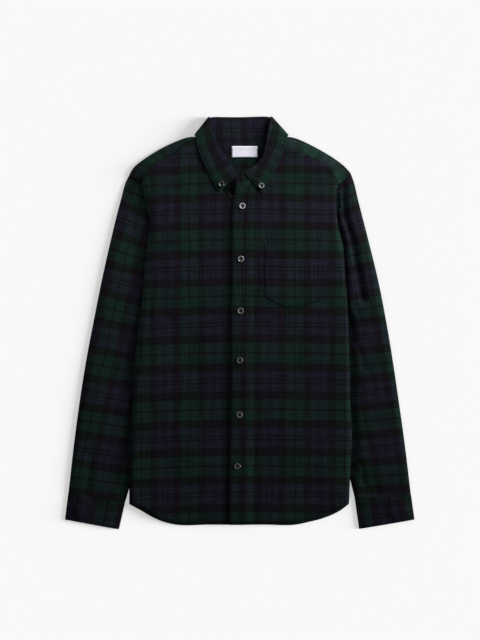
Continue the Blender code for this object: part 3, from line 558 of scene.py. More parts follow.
def thicken(obj, wall, levels=0, even=True):
    """Give a middle surface its cloth thickness, smoothing it first where it is coarse."""
    if levels:
        fine = obj.modifiers.new("Fine", "SUBSURF")
        fine.levels = fine.render_levels = levels
        fine.boundary_smooth = "PRESERVE_CORNERS"
    thick = obj.modifiers.new("Cloth", "SOLIDIFY")
    thick.thickness = wall * MM
    thick.offset = 0.0
    thick.use_even_offset = even
    graph = bpy.context.evaluated_depsgraph_get()
    finished = bpy.data.meshes.new_from_object(obj.evaluated_get(graph))
    obj.modifiers.clear()
    coarse, obj.data = obj.data, finished
    bpy.data.meshes.remove(coarse)
    finished.name = obj.name
    finished.shade_smooth()
    finished.set_sharp_from_angle(angle=SHARP_ANGLE)
    return obj


# ---------------------------------------------------------------- heights of the plies

LEAST_TUCK = 6.0           # how far inside the body's edge a sleeve's inner fold lies at least
SHOULDER_TUCK = 60.0       # and at the top of the armhole
TUCK_FEATHER = 20.0        # width over which the body comes down from the sleeve under it
ARMHOLE_TUCK_TOP_Y = 242.0         # Y above which the tuck has its full depth
FOLD_REACH = 1.5           # how far the sleeve's inner fold lies beyond its plan
HEM_LIFT = (-378.0, -342.0)        # where the lift over the sleeves starts and ends on Y, at the hem
UNDERARM_LIFT = (2.0, 27.0)        # and above the underarm, where it comes down again
NECK_SPAN = (100.0, 124.0)         # on X, where a ply comes down beside the collar leaf
BACK_NECK_RISE = (335.0, 350.0)    # on Y, where the back and the yoke rise over the leaf
FRONT_NECK_RISE = (318.0, 340.0)   # and where the fronts do
ARMHOLE_LAP = 2.6          # how far the body's edge laps over the sleeve
ARMHOLE_RISE = 1.1         # and stands above its flat height there
ARMHOLE_ENDS = (14.0, 296.0, 310.0)     # how far above the underarm it is full, and where on Y it goes out
SHOULDER_ROLL = 28.0       # width over which the shoulders roll down
SHOULDER_SPAN_Y = (262.0, 300.0)        # where that roll takes over, on Y
SHOULDER_SPAN_X = (85.0, 120.0)         # and away from the middle
SHOULDER_HEIGHT = 1.25     # share of the loft at the shoulders
LOFT_WAVER = 0.10          # slow unevenness of the loft
TROUGH_REACH = 2.5         # half widths of a trough after which it has run out
PLACKET_FEATHER = 18.0     # width over which the upper front comes down beside the placket
PLACKET_GAP = 0.3


def side_edge(side, y):
    """Edge of the body on a side at a height."""
    return read_table(BODY_SIDE, y, COLUMN[side])


def hidden_sleeve_edge(side, y):
    """Inner fold of the sleeve under the body."""
    out, edge, tuck = OUT[side], side_edge(side, y), TUCK[side][-1][0]
    if y <= TUCK_Y:
        inner = lerp(side_edge(side, CUFF_INNER_Y), tuck, ramp(y, CUFF_INNER_Y, TUCK_Y))
    elif y <= UNDERARM_Y:
        inner = lerp(tuck, side_edge(side, UNDERARM_Y), ramp(y, TUCK_Y, UNDERARM_Y))
    else:
        inner = edge - out * SHOULDER_TUCK * ramp(y, UNDERARM_Y - TUCK_FEATHER, ARMHOLE_TUCK_TOP_Y)
    narrow = edge - out * LEAST_TUCK
    inner -= out * FOLD_REACH
    return max(inner, narrow) if side == "left" else min(inner, narrow)


def sleeve_lift(x, y):
    """How far the body is lifted over the sleeve under it."""
    side = "left" if x < 0 else "right"
    y = max(y, SIDE_FOOT_Y)
    lift = SLEEVE_LIFT * min(ramp(y, *HEM_LIFT), 1.0 - ramp(y - UNDERARM_Y, *UNDERARM_LIFT))
    inner = hidden_sleeve_edge(side, y)
    foot = inner - OUT[side] * TUCK_FEATHER
    return lift * ease(ramp(abs(x), abs(foot), abs(inner)))


def neck_raise(x, y, rise):
    """Lift of a ply over the back of the collar leaf; rise is where it starts and ends on Y."""
    return NECK_RAISE * ramp(y, *rise) * (1.0 - ramp(abs(x), *NECK_SPAN))


def placket_edge(y):
    """Left edge of the placket at a height."""
    return read_table(PLACKET_EDGE, y, 1)


def placket_line(aside=0.0, rows=5):
    """Points of the placket's left edge from the hem up, moved aside."""
    return [(x + aside, y) for y, x in PLACKET_EDGE[:rows]]


def placket_sides(drop=0.0):
    """Left and right side of the placket from hem to neck, with the upper ends dropped."""
    ends = [(x, y - drop) for x, y in PLACKET_TOP]
    return placket_line() + ends[:1], placket_line(PLACKET_WIDTH) + ends[1:]


def side_run(side, low=SIDE_FOOT_Y, high=ARMHOLE_TOP_Y):
    """Points of the body's side between two heights."""
    rows = [(row[COLUMN[side]], row[0]) for row in BODY_SIDE if low + 1.0 < row[0] < high - 1.0]
    return [(side_edge(side, low), low)] + rows + [(side_edge(side, high), high)]


def armhole_share(y):
    """1 along the armholes, where the body's edge laps over the sleeve."""
    rise, start, end = ARMHOLE_ENDS
    return ramp(y, UNDERARM_Y, UNDERARM_Y + rise) * (1.0 - ramp(y, start, end))


def lapped_side(side):
    """The body's side with the armhole's edge lapped over the sleeve."""
    return [(x + OUT[side] * ARMHOLE_LAP * armhole_share(y), y) for x, y in side_run(side)]


def trough(x, y, troughs):
    """Depth of the soft troughs at a point."""
    depth = 0.0
    for edge, half, deep in troughs:
        away = edge.away(x, y)
        if away < half * TROUGH_REACH:
            depth += deep * bell(away, half)
    return depth


class Lay:
    """How the dressed shirt lies: distances and heights shared by its pieces."""

    def __init__(self):
        here = sizes()
        self.loft = here.loft / MM
        self.roll = here.roll / MM
        self.sleeve_loft = here.sleeve_loft / MM
        left, right = lapped_side("left"), lapped_side("right")
        right_fold = [row[1:3] for row in SHOULDER["right"][:0:-1]]
        left_fold = [row[1:3] for row in SHOULDER["left"][-2::-1]]
        outline = [HEM, right, [right[-1], *SHOULDER_TIP["right"]], right_fold,
                   [right_fold[-1], LEAF_LINE[0]], LEAF_LINE[:2], LEAF_LINE[1:4], LEAF_LINE[3:],
                   [LEAF_LINE[-1], left_fold[0]], left_fold, [*SHOULDER_TIP["left"], left[-1]], left[::-1]]
        line = []
        for run in outline:
            line += smooth_run(run, LINE_STEP)[:-1]
        self.body = Edge(line, closed=True)
        self.body_troughs = self.fine(BODY_TROUGHS)
        self.sleeve_troughs = self.fine(SLEEVE_TROUGHS)

    @staticmethod
    def fine(troughs):
        return [(smooth_edge(points), half, deep) for points, half, deep in troughs]

    def body_loft(self, x, y):
        """How far everything on the body is raised above its flat height."""
        shoulder = ease(ramp(y, *SHOULDER_SPAN_Y)) * ease(ramp(abs(x), *SHOULDER_SPAN_X))
        away = self.body.away(x, y)
        slope = SHOULDER_HEIGHT * math.sin(math.pi / 2 * min(1.0, away / SHOULDER_ROLL))
        rise = self.loft * lerp(quarter_round(away / self.roll), slope, shoulder)
        rise = max(rise, ARMHOLE_RISE * armhole_share(y))
        rise *= 1.0 - LOFT_WAVER * math.sin(x / 37.0 + 1.3) * math.sin(y / 53.0)
        return max(0.0, rise - trough(x, y, self.body_troughs) * min(1.0, rise / 2.0))

    def front(self, x, y, upper):
        """Upper face of a front."""
        over_sleeve, loft = sleeve_lift(x, y), self.body_loft(x, y)
        z = PLY + CLOTH + neck_raise(x, y, FRONT_NECK_RISE) + (over_sleeve ** 4 + loft ** 4) ** 0.25
        if upper:
            flat = placket_edge(y) + PLACKET_WIDTH + 1.5
            z += PLY * (1.0 - ease(ramp(x, flat, flat + PLACKET_FEATHER)))
        return z

    def placket(self, x, y):
        """Upper face of the placket."""
        return self.front(x, y, True) + PLACKET_GAP + CLOTH


LAID = {}


def lay():
    """The one Lay of this run."""
    if "shirt" not in LAID:
        LAID["shirt"] = Lay()
    return LAID["shirt"]


# ---------------------------------------------------------------- finishes

class Nodes:
    """Short way to wire the nodes of one material."""

    def __init__(self, name):
        self.material = bpy.data.materials.new(name)
        self.material.use_nodes = True
        self.tree = self.material.node_tree
        self.shader = self.tree.nodes["Principled BSDF"]

    def add(self, kind, **values):
        node = self.tree.nodes.new(kind)
        for key, value in values.items():
            setattr(node, key, value)
        return node

    def join(self, source, target):
        self.tree.links.new(source, target)

    def math(self, operation, first, second=None, third=None):
        """A Math node; each input is a number or a socket."""
        node = self.add("ShaderNodeMath", operation=operation)
        for socket, value in zip(node.inputs, (first, second, third)):
            if value is None:
                continue
            if isinstance(value, (int, float)):
                socket.default_value = value
            else:
                self.join(value, socket)
        return node.outputs[0]

    def bolt(self):
        """Place on its bolt, in metres. On a button: share of its radius and its painted light, in
        thousandths.
        """
        return self.add("ShaderNodeAttribute", attribute_name="cloth").outputs["Vector"]

    def spot(self):
        """Place on the piece itself."""
        return self.add("ShaderNodeTexCoord").outputs["Object"]

    def split(self, vector):
        """X and Y of a place."""
        node = self.add("ShaderNodeSeparateXYZ")
        self.join(vector, node.inputs[0])
        return node.outputs["X"], node.outputs["Y"]

    def noise(self, vector, scale, detail=2.0, roughness=0.5):
        node = self.add("ShaderNodeTexNoise")
        self.join(vector, node.inputs["Vector"])
        node.inputs["Scale"].default_value = scale
        node.inputs["Detail"].default_value = detail
        node.inputs["Roughness"].default_value = roughness
        return node.outputs["Fac"]

    def tint(self, factor, base, shares, stops=(0.0, 1.0)):
        """The base colour, from a darker to a lighter share of it as the factor grows."""
        node = self.add("ShaderNodeValToRGB")
        for element, share, stop in zip(node.color_ramp.elements, shares, stops):
            element.position = stop
            element.color = tuple(Vector(base) * share) + (1.0,)
        self.join(factor, node.inputs["Fac"])
        return node.outputs["Color"]

    def paint(self, colour, shade=None):
        """Colour of the surface, darkened or lightened by a shade."""
        if shade is not None:
            node = self.add("ShaderNodeVectorMath", operation="SCALE")
            self.join(colour, node.inputs[0])
            self.join(shade, node.inputs["Scale"])
            colour = node.outputs[0]
        self.join(colour, self.shader.inputs["Base Color"])

    def bump(self, height, distance, strength):
        node = self.add("ShaderNodeBump")
        node.inputs["Strength"].default_value = strength
        node.inputs["Distance"].default_value = distance
        self.join(height, node.inputs["Height"])
        self.join(node.outputs["Normal"], self.shader.inputs["Normal"])

    def set(self, **values):
        for key, value in values.items():
            self.shader.inputs[key.replace("_", " ")].default_value = value


def finish(name, build):
    """The one material of that name; build wires it the first time."""
    if name not in bpy.data.materials:
        build(Nodes(name))
    return bpy.data.materials[name]


# Half of the check's repeat: colour, width in parts; it runs there and back
SETT = (("black", 0.95), ("green", 9.1), ("black", 8.05), ("navy", 7.1), ("black", 1.7), ("navy", 1.05))
SETT_BLUR = 0.010
TWILL_PITCH = 0.0012
WEFT_SHARE = 0.61      # how much of the face the weft takes
RIB_SHARE = 0.14       # and how much of that changes over one rib of the twill
YARN_WAVER = 0.0022
CROSSING_SHADE = -0.11     # change of shade where a black band crosses a coloured one
STREAKS = ((330.0, 14.0), (16.0, 420.0))       # fineness of the uneven warp and weft, across and along
STREAK_GAIN = (1.3, -0.3)
RIB_RELIEF = 0.18
TWILL_RELIEF = 0.00022
# How uneven the cloth is: fineness, detail and roughness of the noise, its strength, the least shade
NAP = ((420.0, 3.0, 0.65), 0.60, 0.70)
FIBRE = ((1900.0, 2.0, 0.7), 0.40, 0.80)
WORN = ((18.0, 3.0, 0.5), 0.24, 0.88)


def sett_ramp(nodes, place, repeat):
    """Colour and depth of the check along one direction of the bolt."""
    here = colours()
    paint = {"green": here.green, "navy": here.navy, "black": here.black}
    folded = nodes.math("MULTIPLY", nodes.math("PINGPONG", nodes.math("DIVIDE", place, repeat), 0.5), 2.0)
    node = nodes.add("ShaderNodeValToRGB")
    total = sum(width for _, width in SETT)
    stops, reach = [], 0.0
    for number, (name, width) in enumerate(SETT, start=1):
        start, reach = reach, reach + width / total
        colour = tuple(paint[name]) + (0.0 if name == "black" else 1.0,)
        stops.append((start + (SETT_BLUR if start else 0.0), colour))
        stops.append((reach - (SETT_BLUR if number < len(SETT) else 0.0), colour))
    elements = node.color_ramp.elements
    elements[0].position, elements[0].color = stops[0]
    elements[1].position, elements[1].color = stops[-1]
    for position, colour in stops[1:-1]:
        elements.new(position).color = colour
    nodes.join(folded, node.inputs["Fac"])
    return node.outputs["Color"], node.outputs["Alpha"]


def stretched(nodes, bolt, across, along):
    """Noise drawn out along the warp or the weft, as yarns of uneven colour are."""
    scale = nodes.add("ShaderNodeVectorMath", operation="MULTIPLY")
    nodes.join(bolt, scale.inputs[0])
    scale.inputs[1].default_value = (across, along, 1.0)
    return nodes.noise(scale.outputs[0], 1.0, 2.0, 0.6)


def tartan(nodes):
    """Brushed twill in a dark check, woven from each piece's place on the bolt."""
    here, bolt = sizes(), nodes.bolt()
    waver = nodes.math("MULTIPLY", nodes.math("SUBTRACT", nodes.noise(bolt, 22.0), 0.5), YARN_WAVER)
    across, along = (nodes.math("ADD", place, waver) for place in nodes.split(bolt))
    warp, warp_depth = sett_ramp(nodes, across, here.warp_repeat)
    weft, weft_depth = sett_ramp(nodes, along, here.weft_repeat)
    turns = nodes.math("MULTIPLY", nodes.math("ADD", across, along), 2.0 * math.pi / TWILL_PITCH)
    rib = nodes.math("SINE", turns)
    mix = nodes.add("ShaderNodeMix", data_type="RGBA")
    nodes.join(nodes.math("MULTIPLY_ADD", rib, RIB_SHARE, WEFT_SHARE), mix.inputs["Factor"])
    nodes.join(warp, mix.inputs["A"])
    nodes.join(weft, mix.inputs["B"])
    crossing = nodes.math("ABSOLUTE", nodes.math("SUBTRACT", warp_depth, weft_depth))
    shade = nodes.math("MULTIPLY_ADD", crossing, CROSSING_SHADE, 1.0)
    streak = nodes.math("ADD", *(stretched(nodes, bolt, *fineness) for fineness in STREAKS))
    shade = nodes.math("MULTIPLY", shade, nodes.math("MULTIPLY_ADD", streak, *STREAK_GAIN))
    uneven = []
    for grain, strength, least in (NAP, FIBRE, WORN):
        uneven.append(nodes.noise(bolt, *grain))
        shade = nodes.math("MULTIPLY", shade, nodes.math("MULTIPLY_ADD", uneven[-1], strength, least))
    nodes.paint(mix.outputs["Result"], shade)
    nap, fibre, _ = uneven
    relief = nodes.math("ADD", nodes.math("MULTIPLY", rib, RIB_RELIEF), nodes.math("ADD", nap, fibre))
    nodes.bump(relief, TWILL_RELIEF, 0.6)
    nodes.set(Roughness=0.95, Specular_IOR_Level=0.02)


def sewing_thread(nodes):
    """Twisted sewing thread."""
    twist = nodes.noise(nodes.spot(), 2600.0)
    nodes.paint(nodes.tint(twist, colours().thread, (0.7, 1.4)))
    nodes.bump(twist, 0.0001, 0.5)
    nodes.set(Roughness=0.9, Specular_IOR_Level=0.0)


LABEL_RIB = 0.0009


def woven_label(nodes):
    """Pale woven label with a fine rib and nothing on it."""
    spot = nodes.spot()
    rib = nodes.math("SINE", nodes.math("MULTIPLY", nodes.split(spot)[1], 2.0 * math.pi / LABEL_RIB))
    tone = nodes.math("ADD", nodes.math("MULTIPLY", rib, 0.12), nodes.noise(spot, 160.0, 3.0))
    nodes.paint(nodes.tint(tone, colours().label, (0.90, 1.04)))
    nodes.bump(rib, 0.00006, 0.5)
    nodes.set(Roughness=0.5, Specular_IOR_Level=0.4, Sheen_Weight=0.1)


# Share of a button's radius where its dish ends and its rim starts; the rim is painted lighter as a
# highlight, the dish darker
RIM_PAINTED_LIGHT = {"From Min": 0.60 * MM, "From Max": 0.80 * MM, "To Min": 0.30, "To Max": 1.8}


def smoked_pearl(nodes):
    """Smoked pearl: clouded layers, dark in the dished middle, a polished rim painted lighter as a
    highlight.
    """
    cloud = nodes.noise(nodes.spot(), 330.0, 4.0, 0.6)
    # tone is each button's painted light, a brightness standing in for the light and glint it catches
    from_middle, tone = nodes.split(nodes.bolt())
    # the rim is painted lighter as a painted highlight, and the dished middle darker
    rim = nodes.add("ShaderNodeMapRange", interpolation_type="SMOOTHSTEP")
    nodes.join(from_middle, rim.inputs["Value"])
    for name, value in RIM_PAINTED_LIGHT.items():
        rim.inputs[name].default_value = value
    shade = nodes.math("MULTIPLY", rim.outputs["Result"], nodes.math("DIVIDE", tone, MM))
    nodes.paint(nodes.tint(cloud, colours().button, (0.45, 2.0), (0.34, 0.68)), shade)
    nodes.bump(cloud, 0.00008, 0.35)
    nodes.set(Roughness=0.22, Specular_IOR_Level=0.5, Coat_Weight=0.3, Coat_Roughness=0.10)


def pale_floor(nodes):
    """Plain pale floor that gives off a little light itself."""
    grain = nodes.noise(nodes.spot(), 40.0)
    nodes.paint(nodes.tint(grain, colours().floor, (0.997, 1.0)))
    nodes.set(Roughness=0.9, Specular_IOR_Level=0.1, Emission_Color=(1.0, 1.0, 1.0, 1.0),
              Emission_Strength=bpy.context.scene.shirt_stage.glow)


# ---------------------------------------------------------------- where each piece lies on the bolt

# Where black lines of the check lie: one of the weft on Y, and of the warp on X or beside the placket's edge
WEFT_LINE_Y = 272.0
LEFT_LINE_X, RIGHT_LINE_X, BACK_LINE_X = -98.0, 107.2, -16.5
PLACKET_LINE = 0.5
CHECK_WIDTH, LEFT_CHECK_WIDTH = 97.5, 93.5     # the check lies a little narrower on the left front
SIDE_SAG = {"left": 5.0, "right": 2.0}         # how far the weft hangs down at the sides of the body
SAG_X, SAG_MOST, SAG_POWER = 165.0, 1.4, 1.5


def body_sag(x):
    """How far the check hangs down towards a side of the body."""
    return SIDE_SAG["left" if x < 0 else "right"] * min(SAG_MOST, abs(x) / SAG_X) ** SAG_POWER


def left_front_cloth(x, y):
    return (x - LEFT_LINE_X) * CHECK_WIDTH / LEFT_CHECK_WIDTH, y + body_sag(x) - WEFT_LINE_Y


def right_front_cloth(x, y):
    return x - RIGHT_LINE_X, y + body_sag(x) - WEFT_LINE_Y


def placket_cloth(x, y):
    return x - placket_edge(y) - PLACKET_LINE, y - WEFT_LINE_Y


def back_cloth(x, y):
    return x - BACK_LINE_X, y - WEFT_LINE_Y


# Grain of the sleeves: where a black line of the warp crosses one of the weft, how the warp leans,
# and at heights along the sleeve the slope of the weft and how far both are shifted
SLEEVE_GRAIN = {
    "left": {"x": -267.6, "y": -84, "lean": 0.211,
             "slope": ((-330, 0.15), (-200, 0.16), (-20, 0.19), (60, 0.26), (200, 0.34), (270, 0.42)),
             "shift": ((130, 0, 0), (200, 6, -1.5), (290, 9, -3))},
    "right": {"x": 303.4, "y": -75.2, "lean": -0.175,
              "slope": ((-330, -0.05), (-250, -0.08), (-120, -0.115), (10, -0.12), (110, -0.22),
                        (180, -0.33), (270, -0.42)),
              "shift": ((150, 0, 0), (190, 0, -4), (230, 0, -8), (290, 0, -9))},
}


def sleeve_cloth(side):
    """Place on the bolt for a sleeve, whose grain leans with it."""
    grain = SLEEVE_GRAIN[side]

    def place(x, y):
        line = grain["x"] + grain["lean"] * (y - grain["y"]) + read_table(grain["shift"], y, 1)
        down = (y - grain["y"]) * 1.01 + read_table(grain["shift"], y, 2)
        return (x - line) * 0.98, down + (x - line) * read_table(grain["slope"], y, 1)
    return place


# ---------------------------------------------------------------- the pieces

BODY_RINGS = (1.4, 3.4)      # depths of the rings of points inside a piece's border
SLEEVE_RINGS = (1.2, 3.0, 5.4)
CUFF_RINGS = (1.2, 3.0)
BAND_RINGS = (0.8, 2.0)
LABEL_RINGS = (0.5,)
BACK_COARSE = 1.6            # the back is seen only from behind, so its points lie further apart
BAND_STEP = 3.4
POCKET_STEP = 3.0
LABEL_STEP = 1.6
LABEL_PUFF = 0.35
LABEL_WAVE = 0.25
THIN_WALL = 0.7              # thickness of the pocket and the label


def cloth_step():
    return sizes().step / MM


class SHIRT_OT_back(bpy.types.Operator):
    """Back panel, flat on the floor and lifted over the sleeves"""
    bl_idname = "shirt.back"
    bl_label = "Back"
    bl_options = {"REGISTER", "UNDO"}

    def execute(self, context):
        right, left = side_run("right", high=BACK_SEAM_Y), side_run("left", high=BACK_SEAM_Y)
        plan = Plan([HEM, right, [right[-1], left[-1]], left[::-1]], cloth_step() * BACK_COARSE)
        back = panel("back_panel", plan, lambda x, y, depth: CLOTH + sleeve_lift(x, y), back_cloth)
        dress(back, "tartan_cloth", "back")
        return {"FINISHED"}


UNDERLAP = 28.0              # how far the under front runs on under the placket
SEAM_GAP = 0.6


class SHIRT_OT_fronts(bpy.types.Operator):
    """Both fronts, the right one over the left"""
    bl_idname = "shirt.fronts"
    bl_label = "Fronts"
    bl_options = {"REGISTER", "UNDO"}

    def execute(self, context):
        edge = placket_edge(HEM_Y) + UNDERLAP
        under = placket_line(UNDERLAP, rows=4) + [LEFT_NECKLINE[-1]]
        seam, side = self.seam("left"), lapped_side("left")
        left = self.front("left", left_front_cloth, [
            [p for p in HEM if p[0] < edge] + [(edge, HEM_Y)], under,
            list(LEFT_NECKLINE[::-1]) + [seam[-1]], seam[::-1], [seam[0]] + side[::-1]])
        band = placket_line() + [RIGHT_NECKLINE[-1]]
        seam, side = self.seam("right"), lapped_side("right")
        right = self.front("right", right_front_cloth, [
            [band[0]] + [p for p in HEM if p[0] > 20.0], side + [seam[-1]], seam[::-1],
            [seam[0]] + list(RIGHT_NECKLINE), band[::-1]])
        return {"FINISHED"}

    @staticmethod
    def seam(side):
        """Front yoke seam with a small gap to the yoke's edge."""
        return [(row[3], row[4] - SEAM_GAP) for row in SHOULDER[side]]

    @staticmethod
    def front(side, cloth, runs):
        made = panel("front_" + side + "_panel", Plan(runs, cloth_step(), BODY_RINGS),
                     lambda x, y, depth: lay().front(x, y, side == "right"), cloth)
        return dress(made, "tartan_cloth", "front_" + side)


PLACKET_PUFF = 0.5           # how far the band stands up between its edges
PLACKET_ROLL = 3.0
CHANNEL_SHARE = 0.6          # share of it that the stitched channel presses down
CHANNEL_IN = 3.4             # distance of the channel from the band's edge


class SHIRT_OT_placket(bpy.types.Operator):
    """Buttonhole band down the front"""
    bl_idname = "shirt.placket"
    bl_label = "Placket"
    bl_options = {"REGISTER", "UNDO"}

    def execute(self, context):
        left, right = placket_sides()
        plan = Plan([[left[0], right[0]], right, [right[-1], left[-1]], left[::-1]], BAND_STEP, BAND_RINGS)

        def top(x, y, depth):
            channel = 1.0 - CHANNEL_SHARE * bell(depth - CHANNEL_IN, 1.1)
            return lay().placket(x, y) + PLACKET_PUFF * quarter_round(depth / PLACKET_ROLL) * channel - 0.1
        band = panel("placket_band", plan, top, placket_cloth)
        dress(band, "tartan_cloth", "placket")
        return {"FINISHED"}


POCKET_HEM_Y = 126.0         # stitching line of the pocket's top hem
POCKET_PUFF = 0.4
POCKET_ROLL = 9.0
EDGE_DIP = (0.25, 3.0, 1.0)  # depth, distance from the edge and half width of the stitched channel
HEM_DIP = (0.3, 1.4)         # depth and half width of the one along the hem
CORNER_STEPS = 8


def pocket_runs():
    """Outline of the pocket: top, left side, curved lower edge, right side."""
    here = POCKET
    left, right = here["left"], here["right"]

    def half_foot(x, corner_y, steps):
        return [(lerp(x, here["point_x"], k / CORNER_STEPS),
                 lerp(corner_y, here["point_y"], math.sin(math.pi / 2 * k / CORNER_STEPS))) for k in steps]
    lower = half_foot(left, here["left_corner"], range(CORNER_STEPS + 1))
    lower += half_foot(right, here["right_corner"], range(CORNER_STEPS - 1, -1, -1))
    return [[(right, here["top"]), (left, here["top"])], [(left, here["top"]), (left, here["left_corner"])],
            lower, [(right, here["right_corner"]), (right, here["top"])]]


class SHIRT_OT_pocket(bpy.types.Operator):
    """Patch pocket on the right front"""
    bl_idname = "shirt.pocket"
    bl_label = "Pocket"
    bl_options = {"REGISTER", "UNDO"}

    def execute(self, context):
        def top(x, y, depth):
            deep, place, half = EDGE_DIP
            dip, hem_dip = deep * bell(depth - place, half), HEM_DIP[0] * bell(y - POCKET_HEM_Y, HEM_DIP[1])
            puff = POCKET_PUFF * quarter_round(depth / POCKET_ROLL)
            flat = lay().front(x, y, True) + 0.1 + THIN_WALL
            return flat + puff - min(dip, puff) - hem_dip * (puff > 0.2)
        pocket = panel("pocket_patch", Plan(pocket_runs(), POCKET_STEP, BAND_RINGS), top,
                       lambda x, y: right_front_cloth(x, y + 1.0), THIN_WALL)
        dress(pocket, "tartan_cloth", "pocket")
        return {"FINISHED"}


SLEEVE_FOLD_Z = 1.4          # height of the sleeve's folds
SLEEVE_TOP_Z = 1.85          # of the upper ply beside the body
SLEEVE_CLEAR_RISE = 0.35     # and how far it rises once it is clear of the body
SLEEVE_HOLLOW = 0.8          # how far the lower ply drops from the folds
WRIST_SHARE = 0.62           # share of the loft left at the cuff, and how far up it is felt
WRIST_REACH = (2.0, 40.0)
SLEEVE_WALL = 1.1
SLEEVE_ROLL = 16.0           # width over which the outer fold rolls down
TUCK_ROLL = 2.4              # and the fold under the body
ARMHOLE_Y = (228.0, 212.0, 196.5, 182.0, 167.0, 130.0, 90.0)
ARMPIT_Y = 76.0
ARMHOLE_GAP = 0.6
TOP_TUCK = (1.8, 2.2)        # how far the top of the armhole is tucked in under the yoke
WRIST_GAP = 0.1


class SHIRT_OT_sleeves(bpy.types.Operator):
    """Both sleeves, folded flat beside and under the body"""
    bl_idname = "shirt.sleeves"
    bl_label = "Sleeves"
    bl_options = {"REGISTER", "UNDO"}

    def execute(self, context):
        for side in SIDES:
            self.sleeve(side)
        return {"FINISHED"}

    def sleeve(self, side):
        out, laid, rises = OUT[side], lay(), SLEEVE_RISE[side]
        runs = self.runs(side)
        inner, wrist, outer = (smooth_edge(run) for run in runs[3:])

        def from_body(x, y):
            if y < ARMHOLE_TOP_Y and (x - side_edge(side, max(y, SIDE_FOOT_Y))) * out < 0.0:
                return 0.0
            return laid.body.away(x, y)

        def full(x, y):
            clear = from_body(x, y)
            start, end, share = (read_table(rises, y, column) for column in (1, 2, 3))
            puff = laid.sleeve_loft * share * ease(ramp(clear, start, end))
            puff *= 1.0 - 0.12 * math.sin(y / 41.0 + out) * math.cos(x / 29.0)
            puff *= lerp(WRIST_SHARE, 1.0, ease(ramp(wrist.away(x, y), *WRIST_REACH)))
            drop = trough(x, y, laid.sleeve_troughs) * ramp(clear, 0.0, 4.0)
            return SLEEVE_TOP_Z + SLEEVE_CLEAR_RISE * ramp(clear, 1.0, 8.0) + max(-0.2, puff - drop)

        def top(x, y, depth):
            rolled = quarter_round(outer.away(x, y) / SLEEVE_ROLL)
            tucked = quarter_round(inner.away(x, y) / TUCK_ROLL)
            return SLEEVE_FOLD_Z + (full(x, y) - SLEEVE_FOLD_Z) * min(rolled, tucked)

        def bottom(x, y, depth):
            near = min(outer.away(x, y), inner.away(x, y))
            return SLEEVE_FOLD_Z - SLEEVE_HOLLOW * quarter_round(near / 2.2)
        sleeve = tube("sleeve_" + side + "_cloth", Plan(runs, cloth_step(), SLEEVE_RINGS), top, bottom,
                      lambda x, y: SLEEVE_FOLD_Z, {0, 1, 2, 4}, sleeve_cloth(side), SLEEVE_WALL)
        dress(sleeve, "tartan_cloth", "sleeve_" + side)

    @staticmethod
    def runs(side):
        """Shoulder, armhole, underarm, inner fold, wrist and outer fold of a sleeve."""
        out, tip, tuck = OUT[side], SLEEVE_TIP[side], list(TUCK[side])
        armhole = [(x - out * TOP_TUCK[0], y + TOP_TUCK[1]) for x, y in SLEEVE_TOP[side]]
        armhole += [(side_edge(side, y) + out * ARMHOLE_GAP, y) for y in ARMHOLE_Y]
        armhole += [(side_edge(side, ARMPIT_Y), ARMPIT_Y), (side_edge(side, UNDERARM_Y) - out, UNDERARM_Y)]
        inner_end, outer_end = ((x, y + WRIST_GAP) for x, y in (CUFF[side]["inner"], CUFF[side]["outer"]))
        outside = [outer_end] + [(row[COLUMN[side]], row[0]) for row in SLEEVE_EDGE[1:]] + [tip]
        return [[tip, armhole[0]], armhole, [armhole[-1]] + tuck, [tuck[-1], inner_end],
                [inner_end, outer_end], outside]


CUFF_FOLD_Z = 1.9
CUFF_WALL = 1.5
CUFF_DOME = 2.7              # how far the cuff is lifted by the button under it
DOME_REACH = (11.0, 26.0)    # from the button's middle
CUFF_EDGE_Z = 3.0            # upper face of the cuff just inside its folds
CUFF_LOFT = 2.2
CUFF_HOLLOW = 1.1
SEAM_DIP = (0.5, 6.0, 1.4)   # depth, distance from the seam and half width of the stitched channel
FOLD_DIP = (0.4, 5.0, 1.4)   # and of the ones along the folds
# Where the check's lines cross a cuff: x of a line across it, distance of one along it, and its lean
CUFF_CHECK = {"left": (-260.0, 38.4, 0.0), "right": (235.7, 40.2, 0.11)}


def cuff_button_place(side):
    """Where the cuff's button sits on the underside."""
    cuff = CUFF[side]
    outer = Vector(cuff["outer"]).lerp(Vector(cuff["outer_end"]), 0.5)
    inner = Vector(cuff["inner"]).lerp(Vector(cuff["inner_end"]), 0.5)
    return tuple(outer.lerp(inner, 0.3))


